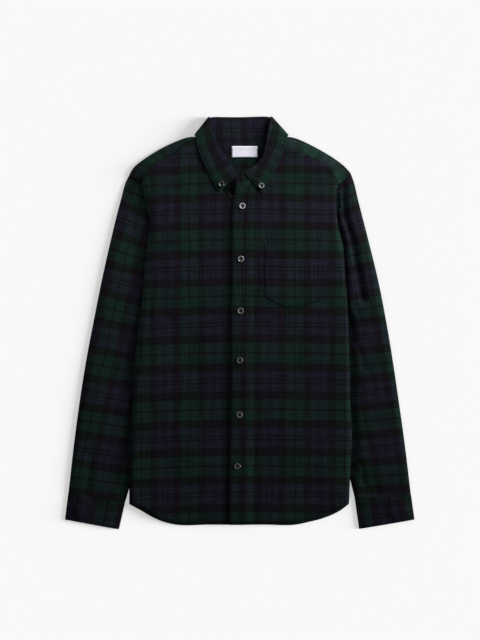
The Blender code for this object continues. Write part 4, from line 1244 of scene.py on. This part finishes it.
class SHIRT_OT_cuffs(bpy.types.Operator):
    """Both buttoned cuffs"""
    bl_idname = "shirt.cuffs"
    bl_label = "Cuffs"
    bl_options = {"REGISTER", "UNDO"}

    def execute(self, context):
        for side in SIDES:
            self.cuff(side)
        return {"FINISHED"}

    def cuff(self, side):
        cuff, button = CUFF[side], cuff_button_place(side)
        corners = [cuff[name] for name in ("outer", "inner", "inner_end", "outer_end")]
        runs = [[a, b] for a, b in round_pairs(corners)]
        seam, inner, _, outer = (smooth_edge(run) for run in runs)

        def near_fold(x, y):
            return min(outer.away(x, y), inner.away(x, y))

        def dome(x, y):
            return CUFF_DOME * (1.0 - ease(ramp(math.dist((x, y), button), *DOME_REACH)))

        def dip(away, depth, place, half):
            return depth * bell(away - place, half)

        def top(x, y, depth):
            near = near_fold(x, y)
            full = CUFF_EDGE_Z + CUFF_LOFT * ease(ramp(near, 0.0, 22.0))
            full -= dip(seam.away(x, y), *SEAM_DIP)
            full -= dip(near, *FOLD_DIP)
            return CUFF_FOLD_Z + (full - CUFF_FOLD_Z) * quarter_round(near / 6.0) + dome(x, y)

        def bottom(x, y, depth):
            return CUFF_FOLD_Z - CUFF_HOLLOW * quarter_round(near_fold(x, y) / 2.6) + dome(x, y)
        made = tube("cuff_" + side + "_band", Plan(runs, BAND_STEP, CUFF_RINGS), top, bottom,
                    lambda x, y: CUFF_FOLD_Z + dome(x, y), {0, 2}, self.cloth(side), CUFF_WALL)
        dress(made, "tartan_cloth", "cuff_" + side)

    @staticmethod
    def cloth(side):
        """Place on the bolt for a cuff, whose check runs across and along it."""
        cuff = CUFF[side]
        column_x, row_start, lean = CUFF_CHECK[side]
        way = (Vector(cuff["inner"]) - Vector(cuff["outer"])).normalized()
        across = Vector((way.y, -way.x)) * -OUT[side]
        middle = Vector([(a + b) / 2 for a, b in zip(cuff["outer"], cuff["inner_end"])])

        def place(x, y):
            spot = Vector((x, y)) - middle
            down = spot.dot(across)
            return down + row_start, spot.dot(way) - (column_x - middle.x) * way.x + lean * down
        return place


def banded(name, columns, wall, levels, cloth, share_of_loft):
    """A middle surface from columns of points, each raised by its share of the body's loft."""
    laid = lay()
    points, faces, starts, bolt = [], [], [], []
    for number, column in enumerate(columns):
        starts.append(len(points))
        for place, (x, y, z) in enumerate(column):
            points.append((x, y, z + laid.body_loft(x, y) * share_of_loft(place, z)))
            bolt.append(cloth(number, place, x, y))
    for (a, left), (b, right) in zip(zip(starts, columns), zip(starts[1:], columns[1:])):
        for r in range(min(len(left), len(right)) - 1):
            faces.append((a + r, b + r, b + r + 1, a + r + 1))
    return thicken(cloth_mesh(name, points, faces, bolt, finish("Tartan twill", tartan)), wall, levels)


YOKE_WALL = 1.1
YOKE_BACK_ROWS = 4           # rows of a column that lie on the back before the shoulder fold
FOLD_STEPS = 3
NECK_COLUMNS = (8, 11)       # first and last column at the neck, where the yoke isn't folded
YOKE_LINES = (34.0, 304.5)   # X and Y of the check's black lines on the back of the yoke
YOKE_CHECK_START = 2.5       # place on the bolt at the front seam, and how the check spreads up from it
YOKE_CHECK_SHARE = 0.75
# First folded column on each shoulder, and the distance from the middle of the check's black line there
SHOULDER_LINE = {"left": (7, 175.0), "right": (12, 139.0)}


class SHIRT_OT_yoke(bpy.types.Operator):
    """Yoke, folded over both shoulders to the front seams"""
    bl_idname = "shirt.yoke"
    bl_label = "Yoke"
    bl_options = {"REGISTER", "UNDO"}

    def execute(self, context):
        left, right = ([dict(seam_x=row[0], fold=row[1:3], front=row[3:5]) for row in SHOULDER[side]]
                       for side in SIDES)
        self.stations = left + [dict(seam_x=x, neck=(x, y)) for x, y in NECK_STATIONS] + right
        columns = [self.column(index) for index in range(len(self.stations))]
        folds = [Vector(column[YOKE_BACK_ROWS][:2]) for column in columns]
        along = {side: self.from_line(folds, side) for side in SIDES}

        def cloth(number, place, x, y):
            if place < YOKE_BACK_ROWS or NECK_COLUMNS[0] <= number <= NECK_COLUMNS[1]:
                return x - YOKE_LINES[0], YOKE_LINES[1] - y
            column = columns[number]
            down = sum(math.dist(a, b) for a, b in zip(column[place:], column[place + 1:]))
            beside = along["right" if folds[number].x > 0 else "left"][number]
            return beside, YOKE_CHECK_START + down * YOKE_CHECK_SHARE
        yoke = banded("yoke_cloth", columns, YOKE_WALL, 3, cloth, lambda place, z: ramp(place, 4.0, 7.0))
        dress(yoke, "tartan_cloth", "yoke")
        return {"FINISHED"}

    @staticmethod
    def from_line(folds, side):
        """Distance along a shoulder from the check's black line on it, for each column."""
        number, line = SHOULDER_LINE[side]
        step = 1 if side == "right" else -1
        distances = {number: 0.0}
        while 0 < number < len(folds) - 1:
            distances[number + step] = distances[number] + (folds[number + step] - folds[number]).length
            number += step
        rows = sorted((abs(folds[n].x), distance) for n, distance in distances.items())
        return {n: step * (distance - read_table(rows, line, 1)) for n, distance in distances.items()}

    def column(self, index):
        """Points of the yoke from the back seam over the shoulder to the front seam."""
        def middle(x, y):
            return CLOTH / 2 + neck_raise(x, y, BACK_NECK_RISE)
        station, radius, last = self.stations[index], PLY / 2, len(self.stations) - 1
        seam_x, is_fold = station["seam_x"], "fold" in station
        top = Vector(station["fold"] if is_fold else station["neck"])
        if is_fold:
            inward = self.inward(index)
            top = top + inward * (radius + CLOTH / 2)
        rows = YOKE_END["left" if index < 2 else "right"] if index < 2 or index > last - 2 else ()
        if index in (0, last):
            mids = [row[0:2] for row in rows]
        elif rows:
            mids = [row[2:4] for row in rows]
        elif abs(seam_x) < 110.0:
            mids = [(lerp(seam_x, top.x, ramp(y, BACK_SEAM_Y, top.y)), y) for y in YOKE_ROW_Y]
        else:
            mids = [lerp_2d((seam_x, BACK_SEAM_Y), top, share) for share in YOKE_ROW_SHARE]
        column = [(x, y, middle(x, y)) for x, y in [(seam_x, BACK_SEAM_Y)] + mids + [(top.x, top.y)]]
        if is_fold:
            base = middle(top.x, top.y)
            for step in range(1, FOLD_STEPS + 1):
                angle = math.pi * step / FOLD_STEPS
                spot = top - inward * radius * math.sin(angle)
                column.append((spot.x, spot.y, base + radius * (1.0 - math.cos(angle))))
            end = station["front"]
            half = ((top.x + end[0]) / 2, (top.y + end[1]) / 2)
            if index in (0, last):
                lap = OUT["left" if index == 0 else "right"] * 1.4
                half = (rows[-1][0] + lap, rows[-1][1] - 1.7)
                end = (end[0] + lap, end[1] - 1.2)
            for x, y in (half, end):
                rise = max(neck_raise(x, y, FRONT_NECK_RISE), neck_raise(x, y, BACK_NECK_RISE))
                column.append((x, y, PLY + CLOTH / 2 + rise))
        return column

    def inward(self, index):
        """Direction across the shoulder fold, towards the body."""
        folds = {n: Vector(self.stations[n]["fold"]) for n in (index - 1, index, index + 1)
                 if 0 <= n < len(self.stations) and "fold" in self.stations[n]}
        along = folds[max(folds)] - folds[min(folds)]
        return Vector((along.y, -along.x)).normalized()


def label_corners(inset=0.0):
    """Corners of the neck label, counter-clockwise from its lower left."""
    left, right = LABEL["left"] + inset, LABEL["right"] - inset
    bottom, top = LABEL["bottom"] + inset, LABEL["top"] - inset
    return [(left, bottom), (right, bottom), (right, top), (left, top)]


class SHIRT_OT_label(bpy.types.Operator):
    """Bare label inside the neck"""
    bl_idname = "shirt.label"
    bl_label = "Neck label"
    bl_options = {"REGISTER", "UNDO"}

    def execute(self, context):
        plan = Plan([[a, b] for a, b in round_pairs(label_corners())], LABEL_STEP, LABEL_RINGS)

        def top(x, y, depth):
            base = CLOTH + 0.3 + 1.0 + neck_raise(0.0, y, BACK_NECK_RISE)
            return base + LABEL_PUFF * quarter_round(depth / 2.0) + LABEL_WAVE * math.sin(x / 7.0)
        label = panel("neck_label_patch", plan, top, lambda x, y: (x, y), THIN_WALL)
        label.data.materials[0] = finish("Woven label", woven_label)
        dress(label, "label_cloth", "neck_label")
        return {"FINISHED"}


def turned(low_row, outward, height, steps):
    """A row, the rows round the fold above it, and the row that lies over it at a height."""
    rows = []
    for step in range(steps + 1):
        angle = math.pi * step / steps
        reach = height / 2 * math.sin(angle)
        rise = height * (1.0 - math.cos(angle)) / 2
        rows.append([(x + outward.x * reach, y + outward.y * reach, z + rise) for x, y, z in low_row])
    return rows


FAR = 500.0                  # reach of a straight reading beyond the marks at both ends


def band_cloth(rows, free, marks, start):
    """Place on the bolt of a band: along its free edge, from marks on it, then across from that edge."""
    edge = [Vector(row[free]) for row in rows]
    along = reaches(edge)
    last = len(rows) - 1
    ways = [(edge[min(n + 1, last)] - edge[max(n - 1, 0)]).normalized() for n in range(len(rows))]
    table = [(along[number] + aside, value) for number, aside, value in marks]
    table = [(table[0][0] - FAR, table[0][1] - FAR)] + table + [(table[-1][0] + FAR, table[-1][1] + FAR)]

    def place(number, across, x, y):
        arm = Vector(rows[number][across]) - edge[number]
        skew = arm.dot(ways[number])
        return read_table(table, along[number], 1) + skew, (arm - ways[number] * skew).length + start
    return place


HALF_WALL = 0.7              # from the lower face of the collar's cloth to its middle
STAND_LOFT_Z = (2.6, 3.3)    # heights between which the stand takes up the body's loft
LEAF_LOFT_Z = (0.7, 4.0)     # and the leaf
LEAF_BEND = (0.76, 1.0)      # shares of the leaf over which it drops to its free edge
STAND_SHARES = (0, 0.25, 0.5, 0.75, 1)
STAND_WALL = 1.3
STAND_TURN_Z = 1.7
STAND_TURN_HEIGHT = 1.9
STAND_INSET = 2.0
STAND_TURN_STEPS = 3
LEAF_WALL = 1.4
POINT_TOP_Y = 300.0          # below it, the points drop evenly towards their free edge
LEAF_TURN_HEIGHT = 5.4
LEAF_INSET = 3.4
LEAF_TURN_STEPS = 4
LEAF_TURN_WAY = {"left": (-0.80, 0.60), "right": (0.75, 0.66)}
STAND_MARKS = ((10, 0.0, 16.5),)
LEAF_MARKS = ((5, 10.5, 0.0), (21, -12.4, 195.0))
STAND_CHECK_START = 40.0     # place on the bolt across the band at that edge
THROAT_LINE_X = 22.0         # the same on the stand's end at the throat
THROAT_CHECK_START = 24.0
THROAT_CHECK_SHARE = 0.75
LEAF_CHECK_START = 1.5


class SHIRT_OT_collar(bpy.types.Operator):
    """Collar stand and leaf, flat at the back of the neck and turned over at both sides"""
    bl_idname = "shirt.collar"
    bl_label = "Collar"
    bl_options = {"REGISTER", "UNDO"}

    def execute(self, context):
        self.stand()
        self.leaf()
        return {"FINISHED"}

    @staticmethod
    def stand():
        def row(entry):
            neck, top, low = entry[0:2], entry[2:4], entry[4]
            return [(*lerp_2d(neck, top, share), low + HALF_WALL) for share in STAND_SHARES]

        def turn(side):
            entry, out = STAND_TURN[side], OUT[side]
            low_row = [(x - out * STAND_INSET, y, z) for x, y, z in row(entry + (STAND_TURN_Z,))]
            return turned(low_row, Vector((out, 0.3)).normalized(), STAND_TURN_HEIGHT, STAND_TURN_STEPS)
        rows = [row(entry) for entry in STAND_LEFT] + turn("left")[::-1]
        rows += [row(entry) for entry in STAND_BACK] + turn("right")
        throat = len(rows) + 1
        rows += [row(entry) for entry in STAND_RIGHT]
        inside = band_cloth(rows, 0, STAND_MARKS, STAND_CHECK_START)

        def cloth(number, across, x, y):
            along, up = inside(number, across, x, y)
            if number < throat:
                return along, up
            return x - THROAT_LINE_X, (up - THROAT_CHECK_START) * THROAT_CHECK_SHARE
        stand = banded("collar_stand_band", rows, STAND_WALL, 2, cloth,
                       lambda place, z: ramp(z, *STAND_LOFT_Z))
        dress(stand, "tartan_cloth", "collar_stand")

    @staticmethod
    def leaf():
        def row(entry):
            inner, free, (inner_z, free_z) = entry[0:2], entry[2:4], entry[4:6]
            points = []
            for share in LEAF_SHARES:
                drop = ramp(share, *LEAF_BEND) if inner[1] > POINT_TOP_Y else share ** 1.5
                points.append((*lerp_2d(inner, free, share), lerp(inner_z, free_z, drop) + HALF_WALL))
            return points

        def turn(side):
            entry, way = LEAF_TURN[side], Vector(LEAF_TURN_WAY[side]).normalized()
            low_row = [(x - way.x * LEAF_INSET, y - way.y * LEAF_INSET, HALF_WALL)
                       for x, y in (lerp_2d(entry[0:2], entry[2:4], share) for share in LEAF_SHARES)]
            return turned(low_row, way, LEAF_TURN_HEIGHT, LEAF_TURN_STEPS)
        rows = [row(entry) for entry in LEAF_LEFT] + turn("left")[::-1]
        rows += [row(entry) for entry in LEAF_BACK] + turn("right")
        rows += [row(entry) for entry in LEAF_RIGHT]
        cloth = band_cloth(rows, -1, LEAF_MARKS, LEAF_CHECK_START)
        leaf = banded("collar_leaf_cloth", rows, LEAF_WALL, 3, cloth,
                      lambda place, z: ramp(z, *LEAF_LOFT_Z))
        dress(leaf, "tartan_cloth", "collar_leaf")


# ---------------------------------------------------------------- buttons

BUTTON_THICK = 2.4
FRONT_BUTTON_RADIUS = 5.9
SMALL_BUTTON_RADIUS = 5.2
BUTTON_SIDES = 40
HOLE_SIDES = 12
HOLE_RADIUS = 0.125          # shares of the button's radius
HOLE_SPREAD = 0.235
DISH_RING = 0.47             # ring of points in the dish, outside the holes
DISH_SIDES = 16
DISH_Z = 1.35                # height of the dish in the middle
DISH_DEPTH = 0.4
# Profile of the button from the dish over the rim to the back: share of the radius, height
BUTTON_PROFILE = ((0.66, 1.75), (0.73, 1.95), (0.80, 2.35), (0.88, BUTTON_THICK), (0.96, 2.2), (1.0, 1.7),
                  (1.0, 0.9), (0.95, 0.4), (0.8, 0.15))
# Painted light of each button: a brightness painted into its pearl for how much light and glint it catches
BUTTON_PAINTED_LIGHT = {"front_1": 1.3, "front_2": 0.75, "front_3": 0.35, "front_4": 0.22, "front_5": 0.32,
                "front_6": 0.25, "collar_left": 0.05, "collar_right": 0.8, "cuff_left": 0.5,
                "cuff_right": 0.6}
FRONT_TURN = (12.0, 23.0)    # degrees: the first button's turn, and how much more each next one has
COLLAR_TURN = 40.0
CUFF_TURN = 25.0
SEAT_REACH = 3.5             # how far round its middle a collar button feels for its seat
THREAD_ASIDE = 0.22          # half the distance between the two threads of a pair of holes
BUTTON_THREAD = 0.5
# One stitch between two holes: share of the way between them, height
BUTTON_STITCH = ((0, 0.5), (0, 1.45), (0.25, 1.85), (0.75, 1.85), (1, 1.45), (1, 0.5))


def circle(x, y, radius, count):
    return [(x + radius * math.cos(2 * math.pi * k / count), y + radius * math.sin(2 * math.pi * k / count))
            for k in range(count)]


def button_mesh(radius):
    """A turned button with a raised rim, a dished face and four sewing holes, and the holes' middles."""
    hole, spread = radius * HOLE_RADIUS, radius * HOLE_SPREAD
    centres = [(sx * spread, sy * spread) for sx, sy in ((1, 1), (-1, 1), (-1, -1), (1, -1))]
    dish_radius = radius * BUTTON_PROFILE[0][0]
    circles = [(0, 0, dish_radius, BUTTON_SIDES)] + [(*centre, hole, HOLE_SIDES) for centre in centres]
    flat, rings = [], []
    for x, y, distance, count in circles:
        rings.append(list(range(len(flat), len(flat) + count)))
        flat += circle(x, y, distance, count)
    links = [pair for ring in rings for pair in round_pairs(ring)]
    flat += circle(0, 0, radius * DISH_RING, DISH_SIDES)
    spots, _, faces, sources, _, _ = delaunay_2d_cdt([Vector(p) for p in flat], links, [], 1, 1e-6)
    place = {source: number for number, group in enumerate(sources) for source in group}

    def in_hole(face):
        middle = sum((Vector(spots[i]) for i in face), Vector((0, 0))) / len(face)
        return any(math.dist(middle, centre) < hole * 0.98 for centre in centres)
    points = [(p.x, p.y, DISH_Z + DISH_DEPTH * (p.length / dish_radius) ** 2) for p in spots]
    made = [tuple(face) for face in faces if not in_hole(face)]
    back = len(points)
    points += [(x, y, BUTTON_PROFILE[-1][1]) for x, y, _ in points]
    made += [tuple(i + back for i in reversed(face)) for face in made]
    for ring in rings[1:]:
        made += [(a, b, b + back, a + back) for a, b in round_pairs([place[i] for i in ring])]
    line = [place[i] for i in rings[0]]
    outer = [i + back for i in line]
    for share, height in BUTTON_PROFILE[1:]:
        fresh = list(range(len(points), len(points) + BUTTON_SIDES))
        points += [(x, y, height) for x, y in circle(0, 0, radius * share, BUTTON_SIDES)]
        made += ring_faces(line, fresh)
        line = fresh
    return points, made + ring_faces(line, outer), centres


def ring_faces(line, fresh):
    """Faces between two rings of points."""
    return [(a, b, d, c) for (a, b), (c, d) in zip(round_pairs(line), round_pairs(fresh))]


def strand(path, width, sides=5):
    """A round thread along a path of points."""
    points, faces = [], []
    last = len(path) - 1
    for i, spot in enumerate(path):
        way = (Vector(path[min(i + 1, last)]) - Vector(path[max(i - 1, 0)])).normalized()
        side = way.cross(Vector((0, 0, 1)))
        side = side.normalized() if side.length > 1e-6 else Vector((1, 0, 0))
        up = side.cross(way).normalized()
        thick = width / 2 * (0.55 if i in (0, last) else 1.0)
        for k in range(sides):
            angle = 2 * math.pi * k / sides
            aside, rise = side * math.cos(angle) * thick, up * math.sin(angle) * thick
            points.append(tuple(Vector(spot) + aside + rise))
    for i in range(last):
        a, b = i * sides, (i + 1) * sides
        faces += [(a + k, a + (k + 1) % sides, b + (k + 1) % sides, b + k) for k in range(sides)]
    faces.append(tuple(range(sides))[::-1])
    faces.append(tuple(range(len(points) - sides, len(points))))
    return points, faces


def gather(parts):
    """Points and faces of several parts in one list."""
    points, faces = [], []
    for part_points, part_faces in parts:
        start = len(points)
        points += part_points
        faces += [tuple(i + start for i in face) for face in part_faces]
    return points, faces


class Surface:
    """Heights of finished pieces, read from above."""

    def __init__(self, *names):
        self.trees = []
        for name in names:
            mesh = bpy.data.objects[name].data
            mesh.calc_loop_triangles()
            self.trees.append(BVHTree.FromPolygons([v.co / MM for v in mesh.vertices],
                                                   [tuple(t.vertices) for t in mesh.loop_triangles]))

    def top(self, x, y):
        """Height of the topmost face at a point, or None beside the pieces."""
        found = [tree.ray_cast(Vector((x, y, 50.0)), Vector((0, 0, -1)))[0] for tree in self.trees]
        return max((spot.z for spot in found if spot is not None), default=None)


class SHIRT_OT_buttons(bpy.types.Operator):
    """Front, collar and cuff buttons with their thread"""
    bl_idname = "shirt.buttons"
    bl_label = "Buttons"
    bl_options = {"REGISTER", "UNDO"}

    def execute(self, context):
        band = Surface("placket_band", "front_right_panel")
        leaf = Surface("collar_leaf_cloth")
        for number, (x, y) in enumerate(FRONT_BUTTONS, start=1):
            self.button("front_" + str(number), (x, y), band.top(x, y) + 0.25, FRONT_BUTTON_RADIUS,
                        FRONT_TURN[0] + number * FRONT_TURN[1])
        around = (-SEAT_REACH, 0.0, SEAT_REACH)
        for side, (x, y) in COLLAR_BUTTONS.items():
            seat = max(leaf.top(x + dx, y + dy) or 0.0 for dx in around for dy in around)
            self.button("collar_" + side, (x, y), seat + 0.1, SMALL_BUTTON_RADIUS, COLLAR_TURN)
        for side in SIDES:
            self.button("cuff_" + side, cuff_button_place(side), 0.0, SMALL_BUTTON_RADIUS, CUFF_TURN,
                        turned_over=True)
        return {"FINISHED"}

    @staticmethod
    def button(name, place, seat, radius, turn, turned_over=False):
        points, faces, centres = button_mesh(radius)
        # each point carries its share of the radius and the button's painted light
        pearl = [(math.hypot(x, y) / radius, BUTTON_PAINTED_LIGHT[name]) for x, y, _ in points]
        flip = -1.0 if turned_over else 1.0
        cos, sin = math.cos(math.radians(turn)), math.sin(math.radians(turn))

        def put(items):
            return [(place[0] + (x * cos - y * sin) * flip, place[1] + x * sin + y * cos,
                     seat + (BUTTON_THICK - z if turned_over else z)) for x, y, z in items]
        button = cloth_mesh("button_" + name + "_pearl", put(points), faces, pearl,
                            finish("Smoked pearl", smoked_pearl))
        dress(button, "smoked_button", "button_" + name)
        strands = []
        for a, b in ((0, 1), (3, 2)):
            for shift in (-THREAD_ASIDE, THREAD_ASIDE):
                path = [(*lerp_2d(centres[a], centres[b], share), z) for share, z in BUTTON_STITCH]
                strands.append(strand([(x, y + shift, z) for x, y, z in path], BUTTON_THREAD))
        points, faces = gather(strands)
        thread = cloth_mesh("button_" + name + "_thread", put(points), faces, None,
                            finish("Sewing thread", sewing_thread))
        dress(thread, "tartan_cloth")


# ---------------------------------------------------------------- stitching

STITCH_STEP = 1.0
STITCH_END = 0.5             # cloth left bare at both ends of a line of stitches
STITCH_SHARE = 0.78          # part of the pitch that shows as thread
# One stitch: share of its length, height above the cloth
STITCH_ARC = ((0, -0.10), (0.2, 0.12), (0.5, 0.18), (0.8, 0.12), (1, -0.10))


def offset_line(points, aside):
    """A line moved to its left on the plan."""
    moved = []
    for i, point in enumerate(points):
        way = Vector(points[min(i + 1, len(points) - 1)]) - Vector(points[max(i - 1, 0)])
        way = Vector(way[:2]).normalized()
        moved.append((point[0] - way.y * aside, point[1] + way.x * aside))
    return moved


def stitch_line(points, surface):
    """Stitches that follow a line, each a short thread sunk into the cloth at its ends."""
    here = sizes()
    pitch, width = here.stitch / MM, here.thread / MM
    line = smooth_run(points, STITCH_STEP)
    reach = reaches(line)

    def at(distance):
        distance = min(max(distance, 0.0), reach[-1])
        low = min(len(line) - 2, max(0, int(distance / reach[-1] * (len(line) - 1))))
        while low > 0 and reach[low] > distance:
            low -= 1
        while low < len(line) - 2 and reach[low + 1] < distance:
            low += 1
        span = max(reach[low + 1] - reach[low], TINY)
        return line[low].lerp(line[low + 1], (distance - reach[low]) / span)
    parts = []
    place = STITCH_END
    while place + pitch * 0.75 < reach[-1] - STITCH_END:
        spots = [(at(place + pitch * STITCH_SHARE * share), rise) for share, rise in STITCH_ARC]
        heights = [surface.top(spot.x, spot.y) for spot, _ in spots]
        if None not in heights:
            path = [(spot.x, spot.y, height + rise) for (spot, rise), height in zip(spots, heights)]
            parts.append(strand(path, width, 4))
        place += pitch
    return parts


def stitched(name, *groups):
    """One piece of stitching from groups of lines, each with the surface it lies on."""
    parts = []
    for surface, lines in groups:
        for points in lines:
            parts += stitch_line(points, surface)
    points, faces = gather(parts)
    made = cloth_mesh(name, points, faces, None, finish("Sewing thread", sewing_thread))
    return dress(made, "tartan_cloth")


PLACKET_INSET = 3.6
PLACKET_STITCH_DROP = 1.0    # how far below the neck the placket's stitches end
POCKET_INSET = 2.2
HEM_INSET = 8.0
LEAF_STITCH_INSET = 5.0
LABEL_INSET = 1.0
YOKE_STITCH_RISE = 2.2
CUFF_STITCH_SHARES = (0.08, 0.90)


class SHIRT_OT_stitches(bpy.types.Operator):
    """Rows of stitching on the placket, pocket, collar, yoke, hem and cuffs"""
    bl_idname = "shirt.stitches"
    bl_label = "Stitching"
    bl_options = {"REGISTER", "UNDO"}

    def execute(self, context):
        left, right = placket_sides(PLACKET_STITCH_DROP)
        lines = [offset_line(left, -PLACKET_INSET), offset_line(right, PLACKET_INSET)]
        stitched("placket_stitches", (Surface("placket_band"), lines))
        _, left, lower, right = pocket_runs()
        hem = [(POCKET["left"] + 1.0, POCKET_HEM_Y), (POCKET["right"] - 1.0, POCKET_HEM_Y)]
        lines = [[(x + POCKET_INSET, y) for x, y in left], [(x - POCKET_INSET, y) for x, y in right],
                 offset_line(lower, POCKET_INSET), hem]
        stitched("pocket_stitches", (Surface("pocket_patch"), lines))
        self.body()
        self.collar()
        groups = [(Surface("cuff_" + side + "_band"), self.cuff_lines(side)) for side in SIDES]
        stitched("cuff_stitches", *groups)
        return {"FINISHED"}

    @staticmethod
    def body():
        cut = placket_edge(HEM_Y)
        hem_left = [p for p in HEM if p[0] < cut - 2.0] + [(cut - 1.0, HEM_Y)]
        hem_right = [(cut + PLACKET_WIDTH + 2.0, HEM_Y)] + [p for p in HEM if p[0] > 20.0]
        hems = [offset_line(hem_left, HEM_INSET), offset_line(hem_right, HEM_INSET)]
        seams = [[(row[3], row[4] + YOKE_STITCH_RISE) for row in SHOULDER[side][1:-1]] for side in SIDES]
        fronts = Surface("front_left_panel", "front_right_panel")
        stitched("body_stitches", (fronts, hems), (Surface("yoke_cloth"), seams))

    @staticmethod
    def collar():
        left = [row[2:4] for row in LEAF_LEFT] + [LEAF_TURN["left"][2:4]]
        right = [LEAF_TURN["right"][2:4]] + [row[2:4] for row in LEAF_RIGHT]
        left_front = [LEAF_LEFT[0][0:2], LEAF_LEFT[0][2:4]]
        right_front = [LEAF_RIGHT[-1][2:4], LEAF_RIGHT[-1][0:2]]
        lines = [offset_line(line, -LEAF_STITCH_INSET) for line in (left, right, left_front, right_front)]
        stitched("collar_stitches", (Surface("collar_leaf_cloth"), lines))
        corners = label_corners(LABEL_INSET)
        lines = [[corners[0], corners[3]], [corners[1], corners[2]]]
        stitched("label_stitches", (Surface("neck_label_patch"), lines))

    @staticmethod
    def cuff_lines(side):
        """Lines of stitches across a cuff, beside its seam and its free edge."""
        cuff, lines = {name: Vector(corner) for name, corner in CUFF[side].items()}, []
        for share in CUFF_STITCH_SHARES:
            a = cuff["outer"].lerp(cuff["outer_end"], share)
            b = cuff["inner"].lerp(cuff["inner_end"], share)
            lines.append([tuple(a.lerp(b, 0.02)), tuple(a.lerp(b, 0.98))])
        return lines


# ---------------------------------------------------------------- stage

FLOOR_REACH = 30.0
FLOOR_GAP = 0.0003
LAMP_SIZE = 0.45
TOP_LAMP = (0.62, 0.85, 0.36)
RIM_LAMP = (-0.80, 0.60, 0.22)
CAMERA_X, CAMERA_Y = 0.0005, 0.0054
SENSOR_WIDTH = 36.0


def add_object(name, data, place=(0.0, 0.0, 0.0)):
    obj = bpy.data.objects.new(name, data)
    obj.location = place
    bpy.context.scene.collection.objects.link(obj)
    return obj


def add_lamp(data, place, away):
    """A lamp at a place; away is the direction from what it lights back to it."""
    obj = add_object(data.name, data, place)
    obj.rotation_euler = away.to_track_quat("Z", "Y").to_euler()
    return obj


class SHIRT_OT_stage(bpy.types.Operator):
    """Pale floor, soft light and the camera above"""
    bl_idname = "shirt.stage"
    bl_label = "Stage"
    bl_options = {"REGISTER", "UNDO"}

    def execute(self, context):
        here, scene = bpy.context.scene.shirt_stage, bpy.context.scene
        self.floor()
        self.lamps(here)
        world = bpy.data.worlds.new("Soft light")
        world.use_nodes = True
        back = world.node_tree.nodes["Background"]
        back.inputs["Color"].default_value = (1.0, 1.0, 1.0, 1.0)
        back.inputs["Strength"].default_value = here.sky
        scene.world = world
        camera = add_object("camera", bpy.data.cameras.new("camera"), (CAMERA_X, CAMERA_Y, here.height))
        camera.data.lens = here.lens
        camera.data.sensor_width = SENSOR_WIDTH
        scene.camera = camera
        scene.view_settings.view_transform = "Standard"
        return {"FINISHED"}

    @staticmethod
    def floor():
        mesh = bpy.data.meshes.new("floor")
        corners = ((-1, -1), (1, -1), (1, 1), (-1, 1))
        mesh.from_pydata([(x * FLOOR_REACH, y * FLOOR_REACH, 0.0) for x, y in corners], [], [(0, 1, 2, 3)])
        mesh.materials.append(finish("Pale floor", pale_floor))
        add_object("floor", mesh, (0.0, 0.0, -FLOOR_GAP))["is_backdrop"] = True

    @staticmethod
    def lamps(here):
        """A low soft sun from the right, and two disks that light the shirt alone."""
        sun = bpy.data.lights.new("side", "SUN")
        sun.energy, sun.angle = here.side, here.side_spread
        level = math.cos(here.side_height)
        away = Vector((level * math.cos(here.side_turn), level * math.sin(here.side_turn),
                       math.sin(here.side_height)))
        add_lamp(sun, away, away)
        lit = bpy.data.collections.new("Lit by lamps")
        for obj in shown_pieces():
            lit.objects.link(obj)
        for name, power, place in (("top", here.top, TOP_LAMP), ("rim", here.rim, RIM_LAMP)):
            lamp = bpy.data.lights.new(name, "AREA")
            lamp.shape, lamp.size, lamp.energy = "DISK", LAMP_SIZE, power
            disk = add_lamp(lamp, place, Vector(place) - Vector((0.0, 0.1, 0.0)))
            disk.light_linking.receiver_collection = lit


STEPS = (SHIRT_OT_back, SHIRT_OT_fronts, SHIRT_OT_placket, SHIRT_OT_pocket, SHIRT_OT_sleeves,
         SHIRT_OT_cuffs, SHIRT_OT_yoke, SHIRT_OT_label, SHIRT_OT_collar, SHIRT_OT_buttons,
         SHIRT_OT_stitches, SHIRT_OT_stage)
GROUPS = {"shirt_sizes": ShirtSizes, "shirt_colours": ShirtColours, "shirt_stage": ShirtStage}


class SHIRT_PT_panel(bpy.types.Panel):
    """Steps and sizes of the laid shirt"""
    bl_idname = "SHIRT_PT_panel"
    bl_label = "Laid shirt"
    bl_space_type = "VIEW_3D"
    bl_region_type = "UI"
    bl_category = "Shirt"

    def draw(self, context):
        layout = self.layout
        for step in STEPS:
            layout.operator(step.bl_idname)
        for name in GROUPS:
            group, box = getattr(context.scene, name), layout.box()
            for prop in group.__annotations__:
                box.prop(group, prop)


def register():
    for name, group in GROUPS.items():
        bpy.utils.register_class(group)
        setattr(bpy.types.Scene, name, PointerProperty(type=group))
    for step in STEPS + (SHIRT_PT_panel,):
        bpy.utils.register_class(step)


def unregister():
    for step in (SHIRT_PT_panel,) + STEPS[::-1]:
        bpy.utils.unregister_class(step)
    for name, group in GROUPS.items():
        delattr(bpy.types.Scene, name)
        bpy.utils.unregister_class(group)


def main():
    """Register and make every piece in order."""
    register()
    for step in STEPS:
        group, call = step.bl_idname.split(".")
        getattr(getattr(bpy.ops, group), call)()


if __name__ == "__main__":
    main()
